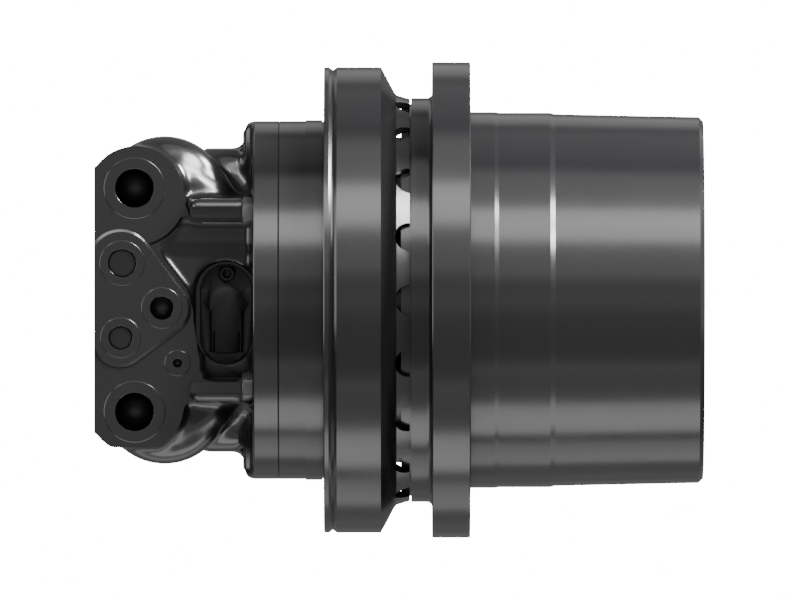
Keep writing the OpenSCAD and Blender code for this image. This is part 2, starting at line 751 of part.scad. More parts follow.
module sensor_screw() color([0.3, 0.3, 0.3]) {
  face = -pocket_floor - sensor_base_t;
  difference() {
    union() {
      post(pocket_x + 0.6, sensor_screw_z, 6.3, face - 4, face);
      post(pocket_x + 0.6, sensor_screw_z, sensor_screw_r - 0.1, face - 1, -pocket_floor + 9);
    }
    facing(face - 5, face - 1.4) translate([pocket_x + 0.6, sensor_screw_z]) hexagon(5);
  }
}

module spool_plug() color([0.22, 0.22, 0.23]) difference() {
  union() {
    rod(cover_left_x + 0.6, cover_left_x + spool_plug_len - 3, spool_bore_r + 2.8, spool_y);
    rod(cover_left_x + 4, cover_left_x + spool_plug_len, spool_bore_r - 0.4, spool_y);
  }
  translate([0, spool_y, 0]) along_axis(cover_left_x - 1, cover_left_x + 8) hexagon(12);
}

// Valve spool with three lands
module spool() color([0.7, 0.7, 0.72]) {
  land = spool_len / 5;
  for (i = [0 : 2]) {
    start = spool_mid_x - spool_len / 2 + 2 * i * land;
    rod(start, start + land, spool_bore_r - slide_fit, spool_y);
  }
  rod(spool_mid_x - spool_len / 2, spool_mid_x + spool_len / 2, spool_bore_r / 2, spool_y);
}

module spool_springs() color([0.6, 0.6, 0.6]) {
  coil_spring(cover_left_x + spool_plug_len + seat_gap, spool_mid_x - spool_len / 2 - seat_gap,
              7.5, 1, 3.4, spool_y);
  coil_spring(spool_mid_x + spool_len / 2 + seat_gap, spool_bore_end_x - seat_gap,
              7.5, 1, 3.4, spool_y);
}

module frame_hub() color([0.2, 0.2, 0.21]) {
  pilot_x = -pilot_relief - frame_pilot_len;
  hub_r = hub_d / 2;
  pilot_r = frame_pilot_d / 2;
  flange_r = frame_flange_d / 2;
  bore_r = lip_bore_d / 2;
  housing_r = seal_housing_r + 6;
  difference() {
    revolved([
      [brake_bore_r, hub_joint_x], [hub_r - 0.6, hub_joint_x], [hub_r, hub_joint_x + 0.6],
      [hub_r, pilot_x], [pilot_r, pilot_x], [pilot_r, -pilot_relief],
      [pilot_r - 1.4, -pilot_relief], [pilot_r - 1.4, 0], [flange_r - 0.8, 0], [flange_r, 0.8],
      [flange_r, v_groove_x - v_groove_w / 2], [flange_r - v_groove_depth, v_groove_x],
      [flange_r, v_groove_x + v_groove_w / 2], [flange_r, frame_flange_t],
      [lip_d / 2 + 1.6, lip_x - 1.4], [lip_d / 2, lip_x], [lip_end_d / 2, lip_end_x],
      [bore_r, lip_end_x], [bore_r, hub_shoulder_x], [housing_r, hub_shoulder_x],
      [housing_r, seal_meet_x - 6], [seal_housing_r, seal_meet_x - 6],
      [seal_housing_r, hub_shoulder_x + 2], [spindle_seat_r + 3, hub_shoulder_x + 2],
      [spindle_seat_r + 3, bearing_a_x], [spindle_seat_r, bearing_a_x],
      [spindle_seat_r, bearing_end_x], [spindle_seat_r - 3, bearing_end_x],
      [spindle_seat_r - 3, spindle_end_x], [shaft_seal_r - 6, spindle_end_x],
      [shaft_seal_r - 6, shaft_seal_x + shaft_seal_w + seat_gap],
      [shaft_seal_r, shaft_seal_x + shaft_seal_w + seat_gap], [shaft_seal_r, shaft_seal_x - 1],
      [shaft_bearing_r, shaft_seal_x - 1], [shaft_bearing_r, swash_end_x],
      [motor_bore_r, swash_end_x], [motor_bore_r, disc_stack_end_x],
      [steel_outer_r + 0.3, disc_stack_end_x], [steel_outer_r + 0.3, disc_stack_x - 0.6],
      [brake_small_r, disc_stack_x - 0.6], [brake_small_r, brake_chamber_x],
      [brake_bore_r, brake_chamber_x]]);
    around(frame_bolt_count, 90) rod(-1, frame_bolt_depth, frame_bolt_hole_d / 2, frame_bolt_pcd / 2);
    around(notch_count) translate([lip_end_x, bore_r - 6, 0]) rotate([-90, 0, 0])
      cylinder(r = notch_r, h = lip_d / 2 - bore_r + 20, $fn = round_fn);
    for (a = cover_bolt_angles) rotate([a, 0, 0])
      rod(hub_joint_x - 1, hub_joint_x + 20, cover_bolt_r, cover_bolt_circle_r);
    around(8, carrier_screw_turn)
      rod(spindle_end_x - 20, spindle_end_x + 1, carrier_screw_r, carrier_screw_circle_r);
  }
}

module valve_plate() color([0.7, 0.6, 0.35]) difference() {
  ring(hub_joint_x, block_x - 0.05, block_r - 2, shaft_r + 4);
  for (side = [0, 180]) rotate([side, 0, 0]) for (a = [-60 : 20 : 60]) rotate([a, 0, 0])
    rod(hub_joint_x - 1, block_x + 1, 5, piston_circle_r);
}

// Roller bearing: an outer ring, rollers and an inner ring
module shaft_bearing(x, w, outer, inner, count) {
  race = (outer + inner) / 2;
  roller = (outer - inner) / 4;
  ring(x, x + w, outer - 0.02, race + roller + 0.02);
  ring(x, x + w, race - roller - 0.02, inner + 0.05);
  around(count) rod(x + 2, x + w - 2, roller - 0.02, race);
}

module rear_shaft_bearing() color([0.75, 0.75, 0.77])
  shaft_bearing(hub_joint_x - 21.8, 18, rear_bearing_r, shaft_tail_r, 11);

module front_shaft_bearing() color([0.75, 0.75, 0.77])
  shaft_bearing(front_bearing_x, shaft_bearing_w, shaft_bearing_r, shaft_r, 12);

module shaft_seal() color([0.1, 0.1, 0.1]) {
  x = shaft_seal_x + 0.1;
  end = shaft_seal_x + shaft_seal_w;
  revolved([[shaft_r + 3, x], [shaft_seal_r - 0.05, x], [shaft_seal_r - 0.05, end],
            [shaft_r + 0.1, end], [shaft_r + 0.1, end - 2], [shaft_seal_r - 4, end - 2],
            [shaft_seal_r - 4, x + 2], [shaft_r + 3, x + 2]]);
}

// Outline of a straight-sided spline, a little smaller than the round parts beside it
module spline(count, minor, major) {
  step = 360 / count;
  tip = major - 0.2;
  polygon([for (i = [0 : count - 1]) for (p = [[minor, -0.27], [tip, -0.22], [tip, 0.22],
                                               [minor, 0.27]])
    [p.x * cos((i + p.y) * step), p.x * sin((i + p.y) * step)]]);
}

module motor_shaft() color([0.62, 0.62, 0.64]) difference() {
  union() {
    rod(speed_ring_x - 6, hub_joint_x + 1, shaft_tail_r);
    rod(hub_joint_x, block_x + 8, shaft_r - 3);
    along_axis(block_x + 8, block_end_x + 14) spline(shaft_splines, shaft_r - 2.4, shaft_r);
    rod(block_end_x + 14, motor_shaft_end_x, shaft_r);
  }
  along_axis(motor_shaft_end_x - socket_depth, motor_shaft_end_x + 1)
    spline(shaft_splines, sun_shaft_r - 1.6 + slide_fit, sun_shaft_r + slide_fit);
}

// Toothed target that the speed sensor reads
module speed_ring() color([0.55, 0.55, 0.57]) difference() {
  along_axis(speed_ring_x - 4, speed_ring_x + 4) spline(24, speed_ring_r - 3, speed_ring_r);
  rod(speed_ring_x - 5, speed_ring_x + 5, shaft_tail_r + 0.03);
}

module cylinder_block() color([0.55, 0.55, 0.57]) difference() {
  rod(block_x, block_end_x, block_r);
  around(piston_count) {
    rod(block_x + 12, block_end_x + 1, piston_r + slide_fit, piston_circle_r);
    rod(block_x - 1, block_x + 13, 4.5, piston_circle_r);
  }
  along_axis(block_x - 1, block_end_x + 1)
    spline(shaft_splines, shaft_r - 2.4 + slide_fit, shaft_r + slide_fit);
  ring(block_end_x - spring_pocket, block_end_x + 1, shaft_r + 8);
}

module pistons() color([0.72, 0.72, 0.74]) around(piston_count) {
  rod(block_x + 22, ball_x - 14, piston_r, piston_circle_r);
  rod(ball_x - 15, ball_x, 4.6, piston_circle_r);
  translate([ball_x, piston_circle_r, 0]) sphere(ball_r, $fn = 48);
}

module slippers() color([0.7, 0.6, 0.35]) around(piston_count)
  translate([0, piston_circle_r, 0]) rotate([0, 90, 0]) rotate_extrude($fn = 48) difference() {
    union() {
      translate([0, slipper_x]) square([cup_r, slipper_w - 3]);
      translate([0, slipper_x + slipper_w - 3]) square([cup_r + 2.4, 3]);
    }
    translate([0, ball_x]) circle(ball_r + slide_fit, $fn = 48);
    translate([-1, slipper_x - 1]) square([ball_r, ball_x - slipper_x + 1]);
  }

module retainer_plate() color([0.5, 0.5, 0.52]) difference() {
  ring(slipper_x + slipper_w - 5.6, slipper_x + slipper_w - 3.2, block_r - 3, shaft_r + 11.2);
  around(piston_count) rod(slipper_x, slipper_x + slipper_w, cup_r + seat_gap, piston_circle_r);
}

module ball_guide() color([0.6, 0.6, 0.62]) {
  x = block_end_x + 8;
  end = slipper_x + slipper_w - 3.4;
  revolved([[shaft_r + 0.05, x], [shaft_r + 7, x], [shaft_r + 7, end - 12],
            [shaft_r + 10.9, end - 3], [shaft_r + 10.9, end], [shaft_r + 0.05, end]]);
}

module block_spring() color([0.6, 0.6, 0.6])
  coil_spring(block_end_x - spring_pocket + seat_gap, block_end_x + 8 - seat_gap, shaft_r + 4.4, 2, 4);

// Plate with a flat running face and a rocker back
module swash_plate() color([0.6, 0.6, 0.62]) difference() {
  intersection() {
    rod(swash_x, swash_end_x - 0.1, motor_bore_r - 6);
    translate([swash_x - 66, 0, 0]) rotate([90, 0, 0])
      cylinder(r = 66 + swash_t - 0.1, h = 4 * motor_bore_r, center = true, $fn = round_fn);
  }
  rod(swash_x - 1, swash_end_x + 1, shaft_r + 6);
}

module brake_steel_discs() color([0.5, 0.5, 0.52]) for (i = [0 : 2 : disc_count - 1])
  ring(disc_stack_x + i * disc_pitch, disc_stack_x + i * disc_pitch + brake_disc_t,
       steel_outer_r, steel_inner_r);

module brake_friction_discs() color([0.35, 0.3, 0.25]) for (i = [1 : 2 : disc_count - 1])
  ring(disc_stack_x + i * disc_pitch, disc_stack_x + i * disc_pitch + brake_disc_t,
       friction_outer_r, block_r + 0.3);

module brake_piston() color([0.45, 0.45, 0.47]) difference() {
  revolved([[block_r + 5, brake_piston_x], [brake_bore_r - 0.1, brake_piston_x],
            [brake_bore_r - 0.1, brake_chamber_x - brake_chamber_gap],
            [brake_small_r - 0.1, brake_chamber_x - brake_chamber_gap],
            [brake_small_r - 0.1, disc_stack_x - 0.9], [steel_outer_r - 2, disc_stack_x - 0.9],
            [steel_outer_r - 2, disc_stack_x - seat_gap], [block_r + 5, disc_stack_x - seat_gap]]);
  around(brake_spring_count)
    rod(brake_piston_x - 1, brake_piston_x + brake_pocket, brake_spring_r + brake_wire_r + 0.8,
        brake_spring_circle_r);
  for (p = brake_seal_places)
    ring(p.y - 1.8, p.y + 1.8, brake_bore_r + 1, p.x - 3.3);
}

module brake_piston_seals() color([0.06, 0.06, 0.06]) for (p = brake_seal_places)
  rotate([0, 90, 0]) rotate_extrude($fn = round_fn)
    translate([p.x - 1.7, p.y]) circle(1.55, $fn = 24);

module brake_springs() color([0.6, 0.6, 0.6]) around(brake_spring_count)
  coil_spring(hub_joint_x + seat_gap, brake_piston_x + brake_pocket - seat_gap, brake_spring_r,
              brake_wire_r, 4.5, brake_spring_circle_r);

// Outline of a bearing ring's section: sign 1 outside, -1 inside
module race(x, seat, sign) {
  shoulder = race_r + sign * 4;
  difference() {
    ring(x, x + main_bearing_w, max(seat, shoulder), min(seat, shoulder));
    rotate([0, 90, 0]) rotate_extrude($fn = round_fn)
      translate([race_r, x + main_bearing_w / 2]) circle(main_ball_r + 0.04, $fn = 48);
  }
}

module inner_bearing_rings() color([0.78, 0.78, 0.8])
  for (x = [bearing_a_x, bearing_b_x]) race(x, spindle_seat_r + 0.02, -1);

module outer_bearing_rings() color([0.78, 0.78, 0.8])
  for (x = [bearing_a_x, bearing_b_x]) race(x, drum_seat_r - 0.02, 1);

// Balls of one main bearing and the cage that spaces them
module ball_set(x) {
  mid = x + main_bearing_w / 2;
  around(main_ball_count) translate([mid, race_r, 0]) sphere(main_ball_r, $fn = 32);
  difference() {
    ring(mid - main_ball_r - 2, mid + main_ball_r + 2, race_r + 2.2, race_r - 2.2);
    around(main_ball_count) translate([mid, race_r, 0]) rotate([-90, 0, 0])
      cylinder(r = main_ball_r + 0.2, h = 20, center = true, $fn = 48);
  }
}

module inboard_ball_set() color([0.8, 0.8, 0.82]) ball_set(bearing_a_x);

module outboard_ball_set() color([0.8, 0.8, 0.82]) ball_set(bearing_b_x);

module bearing_nut() color([0.4, 0.4, 0.42]) difference() {
  chamfered_ring(bearing_end_x + 0.1, bearing_end_x + nut_w, race_r - 5, spindle_seat_r - 3 + 0.05, 1);
  around(8) translate([bearing_end_x + nut_w / 2, race_r - 6, -4]) cube([nut_w, 6, 8]);
}

// Metal ring of the face seal: side -1 on the hub, 1 on the drum
module seal_ring(side) {
  m = seal_meet_x;
  inner = seal_ring_r - seal_ring_wall;
  revolved([[inner, m + side * 0.05], [seal_ring_r + 2, m + side * 0.05],
            [seal_ring_r + 2, m + side * 3], [seal_ring_r - 1.6, m + side * 3],
            [seal_ring_r - 1.6, m + side * 12], [inner, m + side * 12]]);
}

module toric_ring(side) {
  low = seal_ring_r - 1.6;
  r = (seal_housing_r - low) / 2 - 0.1;
  rotate([0, 90, 0]) rotate_extrude($fn = round_fn)
    translate([(seal_housing_r + low) / 2, seal_meet_x + side * (3.2 + r)]) circle(r, $fn = 48);
}

module hub_seal_ring() color([0.66, 0.66, 0.68]) seal_ring(-1);
module drum_seal_ring() color([0.66, 0.66, 0.68]) seal_ring(1);
module hub_toric_ring() color([0.07, 0.07, 0.07]) toric_ring(-1);
module drum_toric_ring() color([0.07, 0.07, 0.07]) toric_ring(1);

module gear_drum() color([0.2, 0.2, 0.21]) {
  collar_r = collar_d / 2;
  flange_r = sprocket_flange_d / 2;
  pilot_r = sprocket_pilot_d / 2;
  housing_r = seal_housing_r + 6;
  drum_bore_r = ring_outer_r + 0.05;
  difference() {
    revolved(concat(
      [[spigot_bore_d / 2, collar_x - spigot_len - lip_gap], [spigot_d / 2, collar_x - spigot_len - lip_gap],
       [spigot_d / 2, collar_x], [collar_r, collar_x]],
      arc(collar_r + collar_fillet, sprocket_x - collar_fillet, collar_fillet, 180, 90, 4),
      [[flange_r - 0.8, sprocket_x], [flange_r, sprocket_x + 0.8],
       [flange_r, sprocket_face_x - 0.8], [flange_r - 0.8, sprocket_face_x],
       [pilot_r, sprocket_face_x], [pilot_r, barrel_x - 0.6], [barrel_d / 2, barrel_x],
       [barrel_d / 2, step_x], [taper_start_d / 2, taper_x],
       [taper_end_d / 2, drum_end_x - end_chamfer], [taper_end_d / 2 - end_chamfer, drum_end_x],
       [drum_bore_r, drum_end_x], [drum_bore_r, clip_x + clip_w + 0.1],
       [drum_bore_r + 4, clip_x + clip_w + 0.1], [drum_bore_r + 4, clip_x - 0.1],
       [drum_bore_r, clip_x - 0.1], [drum_bore_r, ring_x], [ring_outer_r - 7, ring_x],
       [ring_outer_r - 7, bearing_end_x], [drum_seat_r, bearing_end_x],
       [drum_seat_r, bearing_b_x], [drum_seat_r - 7, bearing_b_x],
       [drum_seat_r - 7, bearing_a_x + main_bearing_w], [drum_seat_r, bearing_a_x + main_bearing_w],
       [drum_seat_r, bearing_a_x - 2], [seal_housing_r, bearing_a_x - 2],
       [seal_housing_r, seal_meet_x + 6], [housing_r, seal_meet_x + 6],
       [housing_r, sprocket_x - 6], [spigot_bore_d / 2, sprocket_x - 6]]));
    around(sprocket_bolt_count, 9)
      rod(sprocket_x - 1, sprocket_face_x + 1, sprocket_bolt_hole_d / 2, sprocket_bolt_pcd / 2);
  }
}

module ring_gear() color([0.45, 0.45, 0.47]) {
  pitch = gear_module * ring_teeth / 2;
  along_axis(ring_x, ring_end_x) difference() {
    circle(ring_outer_r, $fn = round_fn);
    polygon(gear_outline(ring_teeth, pitch - 0.9 * gear_module, ring_root_r, flank_play));
  }
}

// Planet gear with its bush; it starts with a tooth pointing outward
module planet(x0, x1, teeth, centre_r, angle, pin) {
  rotate([angle, 0, 0]) translate([0, centre_r, 0]) {
    difference() {
      gear(x0, x1, teeth, 0);
      rod(x0 - 1, x1 + 1, pin + bush_wall);
    }
    ring(x0 + 0.4, x1 - 0.4, pin + bush_wall - 0.02, pin + slide_fit);
  }
}

// Fixed carrier of the second stage with its planet pins
module second_carrier() color([0.4, 0.4, 0.42]) difference() {
  union() {
    chamfered_ring(spindle_end_x, spindle_end_x + second_carrier_t, carrier_plate_r, 0, 2);
    around(second_planet_count) {
      rod(spindle_end_x + 1, second_x - 0.4, second_pin_r + 5, second_centre_r);
      rod(spindle_end_x + 2, second_end_x + pin_tail, second_pin_r, second_centre_r);
    }
  }
  rod(spindle_end_x - 1, second_x + 1, 30);
  around(8, carrier_screw_turn) {
    rod(spindle_end_x - 1, second_x + 1, carrier_screw_r + 0.5, carrier_screw_circle_r);
    rod(spindle_end_x + 6, second_x + 1, carrier_screw_r + 4, carrier_screw_circle_r);
  }
  around(second_planet_count) difference() {
    rod(second_end_x + clip_groove, second_end_x + clip_groove + 2, second_pin_r + 1, second_centre_r);
    rod(second_end_x, second_end_x + 10, second_pin_r - 1.6, second_centre_r);
  }
}

module second_carrier_screws() color([0.25, 0.25, 0.26]) around(8, carrier_screw_turn) difference() {
  union() {
    rod(spindle_end_x + 6, spindle_end_x + 6 + 2 * carrier_screw_r - 4, carrier_screw_r + 3.6,
        carrier_screw_circle_r);
    rod(spindle_end_x - 18, spindle_end_x + 7, carrier_screw_r - 0.3, carrier_screw_circle_r);
  }
  translate([0, carrier_screw_circle_r, 0])
    along_axis(spindle_end_x + 8.4, spindle_end_x + 20) hexagon(8);
}

module second_pin_clips() color([0.5, 0.5, 0.52]) around(second_planet_count)
  translate([0, second_centre_r, 0]) {
    ring(second_end_x + 0.4, second_end_x + clip_groove - 0.1, second_pin_r + 7, second_pin_r + 0.1);
    difference() {
      ring(second_end_x + clip_groove + 0.1, second_end_x + clip_groove + 1.9, second_pin_r + 3,
           second_pin_r - 1.5);
      translate([second_end_x, second_pin_r - 4, -3]) cube([10, 10, 6]);
    }
  }

module second_planet(i) planet(second_x, second_end_x, second_teeth, second_centre_r,
                               i * 360 / second_planet_count, second_pin_r);

module second_planet_1() color([0.5, 0.5, 0.52]) second_planet(0);
module second_planet_2() color([0.5, 0.5, 0.52]) second_planet(1);
module second_planet_3() color([0.5, 0.5, 0.52]) second_planet(2);
module second_planet_4() color([0.5, 0.5, 0.52]) second_planet(3);

// Second stage's sun, carried by the first stage's carrier
module second_sun() color([0.52, 0.52, 0.54]) difference() {
  union() {
    gear(second_x - 1, first_carrier_x - 2, second_teeth, 180 / second_teeth);
    along_axis(first_carrier_x - 2, first_carrier_x + first_carrier_t)
      spline(24, sun_hub_r - 2, sun_hub_r);
  }
  rod(second_x - 2, first_carrier_x + first_carrier_t + 1, sun_shaft_r + 3);
}

module first_carrier() color([0.4, 0.4, 0.42]) difference() {
  chamfered_ring(first_carrier_x, first_carrier_x + first_carrier_t, first_centre_r + first_pin_r + 9,
                 0, 2);
  along_axis(first_carrier_x - 1, first_carrier_x + first_carrier_t + 1)
    spline(24, sun_hub_r - 2 + slide_fit, sun_hub_r + slide_fit);
  around(first_planet_count)
    rod(first_carrier_x - 1, first_carrier_x + first_carrier_t + 1, first_pin_r, first_centre_r);
  around(first_planet_count, 60) rod(first_carrier_x - 1, first_carrier_x + 40, 18, first_centre_r);
}

module first_planet_pins() color([0.6, 0.6, 0.62]) around(first_planet_count)
  difference() {
    union() {
      rod(first_carrier_x, first_end_x + 4, first_pin_r - 0.02, first_centre_r);
      rod(first_carrier_x + first_carrier_t + 0.1, first_x - 0.4, first_pin_r + 4, first_centre_r);
      rod(first_end_x + 0.4, first_end_x + 4, first_pin_r + 4, first_centre_r);
    }
    rod(first_x, first_end_x + 5, 3, first_centre_r);
  }

module first_planet(i) planet(first_x, first_end_x, first_planet_teeth, first_centre_r,
                              i * 360 / first_planet_count, first_pin_r);

module first_planet_1() color([0.5, 0.5, 0.52]) first_planet(0);
module first_planet_2() color([0.5, 0.5, 0.52]) first_planet(1);
module first_planet_3() color([0.5, 0.5, 0.52]) first_planet(2);

// First sun on the long shaft that reaches into the motor shaft
module first_sun_shaft() color([0.62, 0.62, 0.64]) union() {
  gear(first_x - 0.6, first_end_x + 2, first_sun_teeth, 180 / first_sun_teeth);
  rod(motor_shaft_end_x + seat_gap, first_x, sun_shaft_r);
  along_axis(motor_shaft_end_x - socket_depth + 1, motor_shaft_end_x + 1)
    spline(shaft_splines, sun_shaft_r - 1.6, sun_shaft_r);
}

module end_cover() color([0.2, 0.2, 0.21]) {
  mid = end_cover_x + end_cover_t / 2;
  end = end_cover_x + end_cover_t;
  difference() {
    union() {
      chamfered_ring(end_cover_x, end, end_cover_r, 0, 1);
      rod(end - 1, drum_end_x + 1.6, end_boss_r);
    }
    ring(mid - 2.4, mid + 2.4, end_cover_r + 1, end_cover_r - 3.4);
    rod(end_cover_x - 1, end_cover_x + 4, button_r);
    ring(end - 2, end + 1, end_cover_r - 12, 34);
    for (a = plug_angles) rotate([a, 0, 0]) rod(end_cover_x - 1, end + 1, plug_r, plug_circle_r);
  }
}

module end_cover_seal() color([0.06, 0.06, 0.06]) rotate([0, 90, 0]) rotate_extrude($fn = round_fn)
  translate([end_cover_r - 1.75, end_cover_x + end_cover_t / 2]) circle(1.6, $fn = 24);

module end_cover_ring() color([0.3, 0.3, 0.31]) difference() {
  ring(clip_x, clip_x + clip_w, ring_outer_r + 3.8, ring_outer_r - 6);
  translate([clip_x - 1, end_cover_r - 14, -8]) cube([clip_w + 2, 30, 16]);
}

module fill_plugs() color([0.25, 0.25, 0.26]) for (a = plug_angles) rotate([a, 0, 0]) difference() {
  union() {
    rod(end_cover_x + 0.5, end_cover_x + end_cover_t, plug_r - 0.3, plug_circle_r);
    rod(end_cover_x + end_cover_t - 2, end_cover_x + end_cover_t + 1.6, plug_r + 4, plug_circle_r);
  }
  translate([0, plug_circle_r, 0])
    along_axis(end_cover_x + 4, end_cover_x + end_cover_t + 3) hexagon(12);
}

module thrust_button() color([0.6, 0.6, 0.62]) {
  rod(first_end_x + 2.3, end_cover_x, button_r + 3);
  rod(end_cover_x - 1, end_cover_x + 3.8, button_r - 0.05);
}

port_cover();
cover_bolts();
cover_seal();
upper_port_plug();
lower_port_plug();
speed_sensor();
sensor_screw();
spool_plug();
spool();
spool_springs();
frame_hub();
valve_plate();
rear_shaft_bearing();
motor_shaft();
speed_ring();
cylinder_block();
pistons();
slippers();
retainer_plate();
ball_guide();
block_spring();
swash_plate();
front_shaft_bearing();
shaft_seal();
brake_steel_discs();
brake_friction_discs();
brake_piston();
brake_piston_seals();
brake_springs();
inner_bearing_rings();
outer_bearing_rings();
inboard_ball_set();
outboard_ball_set();
bearing_nut();
hub_seal_ring();
hub_toric_ring();
drum_seal_ring();
drum_toric_ring();
gear_drum();
ring_gear();
second_carrier();
second_carrier_screws();
second_pin_clips();
second_planet_1();
second_planet_2();
second_planet_3();
second_planet_4();
second_sun();
first_carrier();
first_planet_pins();
first_planet_1();
first_planet_2();
first_planet_3();
first_sun_shaft();
end_cover();
end_cover_seal();
end_cover_ring();
fill_plugs();
thrust_button();
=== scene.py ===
"""Looks of a hydraulic piston motor with its planetary drum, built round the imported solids."""

import json
import logging
import math
from collections.abc import Callable, Sequence
from dataclasses import dataclass
from enum import Enum

import bpy
from bpy.types import Material, Node, NodeSocket, NodeTree, Object
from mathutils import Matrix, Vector


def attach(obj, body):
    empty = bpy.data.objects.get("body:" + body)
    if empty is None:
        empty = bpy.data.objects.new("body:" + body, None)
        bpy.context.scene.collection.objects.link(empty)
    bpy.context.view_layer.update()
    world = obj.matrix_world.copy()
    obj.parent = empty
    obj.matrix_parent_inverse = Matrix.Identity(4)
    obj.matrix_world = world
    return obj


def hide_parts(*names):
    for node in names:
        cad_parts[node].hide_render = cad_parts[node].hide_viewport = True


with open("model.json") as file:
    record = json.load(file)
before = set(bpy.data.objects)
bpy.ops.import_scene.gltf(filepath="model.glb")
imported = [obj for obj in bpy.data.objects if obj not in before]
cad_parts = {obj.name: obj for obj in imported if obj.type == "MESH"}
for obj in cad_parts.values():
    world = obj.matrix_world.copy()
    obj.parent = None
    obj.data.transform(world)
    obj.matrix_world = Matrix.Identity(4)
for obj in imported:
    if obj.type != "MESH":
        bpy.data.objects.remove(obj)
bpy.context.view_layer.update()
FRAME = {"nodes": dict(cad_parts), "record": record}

LOG = logging.getLogger("piston_motor")
MM = 0.001
Point = tuple[float, float]
Triple = tuple[float, float, float]
Quad = tuple[float, float, float, float]
# How far a cutting tool runs past what it cuts, in millimetres
PAST = 1.0
# Distance kept between two faces that would otherwise fall together, in millimetres
APART = 0.5
# Corners closer than this become one, in metres
MERGE = 1e-6
# Faces closer to a plane than this lie in it, in metres
IN_PLANE = 1e-4
# A face whose normal has this share along an axis is square to it
SQUARE = 0.999
# Clouds a few centimetres across: film thickness and handling
CLOUDS = {"Scale": 28.0, "Detail": 4.0, "Roughness": 0.62}
CLOUD_RANGE = {"From Min": 0.3, "From Max": 0.7}
GRAIN_ROUGHNESS = 0.55
# Steps of one turn, from rough forms to the flange's rim
ROUGH_TURN, PLAIN_TURN, FINE_TURN, LARGE_TURN, GROOVE_TURN, RIM_TURN = 32, 48, 64, 96, 128, 192
# Steps of a half turn in an outline, and of a whole one without its last
ARC_STEPS, RING_STEPS = 40, 71
# Edges flatter than this are shaded smooth where a piece has no limit of its own
SMOOTH_DEGREES = 30.0


# Colour, nodes and finishes


def linear(hex_colour: str) -> Quad:
    """Turn an sRGB hex colour into linear RGBA.

    Args:
        hex_colour: Six hex digits after a hash.

    Returns:
        Red, green, blue and alpha.
    """
    digits = hex_colour.lstrip("#")
    channels = [int(digits[i : i + 2], 16) / 255 for i in (0, 2, 4)]
    red, green, blue = (c / 12.92 if c <= 0.04045 else ((c + 0.055) / 1.055) ** 2.4 for c in channels)
    return red, green, blue, 1.0


def add_node(
    tree: NodeTree,
    kind: str,
    values: dict[str | int, object] | None = None,
    links: dict[str | int, NodeSocket] | None = None,
    **settings: object,
) -> Node:
    """Add one shader node.

    Args:
        tree: Node tree of the material, light or world.
        kind: Type name of the node.
        values: Input sockets and the values they get.
        links: Input sockets and the outputs that feed them.
        **settings: Properties of the node itself.

    Returns:
        The new node.
    """
    node = tree.nodes.new(kind)
    for name, value in settings.items():
        setattr(node, name, value)
    for socket, value in (values or {}).items():
        node.inputs[socket].default_value = value
    for socket, source in (links or {}).items():
        tree.links.new(source, node.inputs[socket])
    return node


class Texture(Enum):
    """How a surface was made, with the octaves that its relief has."""

    CAST = ("cast in sand, then painted", 5.0)
    TURNED = ("turned about the drum's axis", 2.0)
    MOULDED = ("moulded in an eroded tool", 2.0)
    FORGED = ("forged and left black", 4.0)
    GROUND = ("ground fine", 2.0)
    SINTERED = ("pressed and sintered", 3.0)


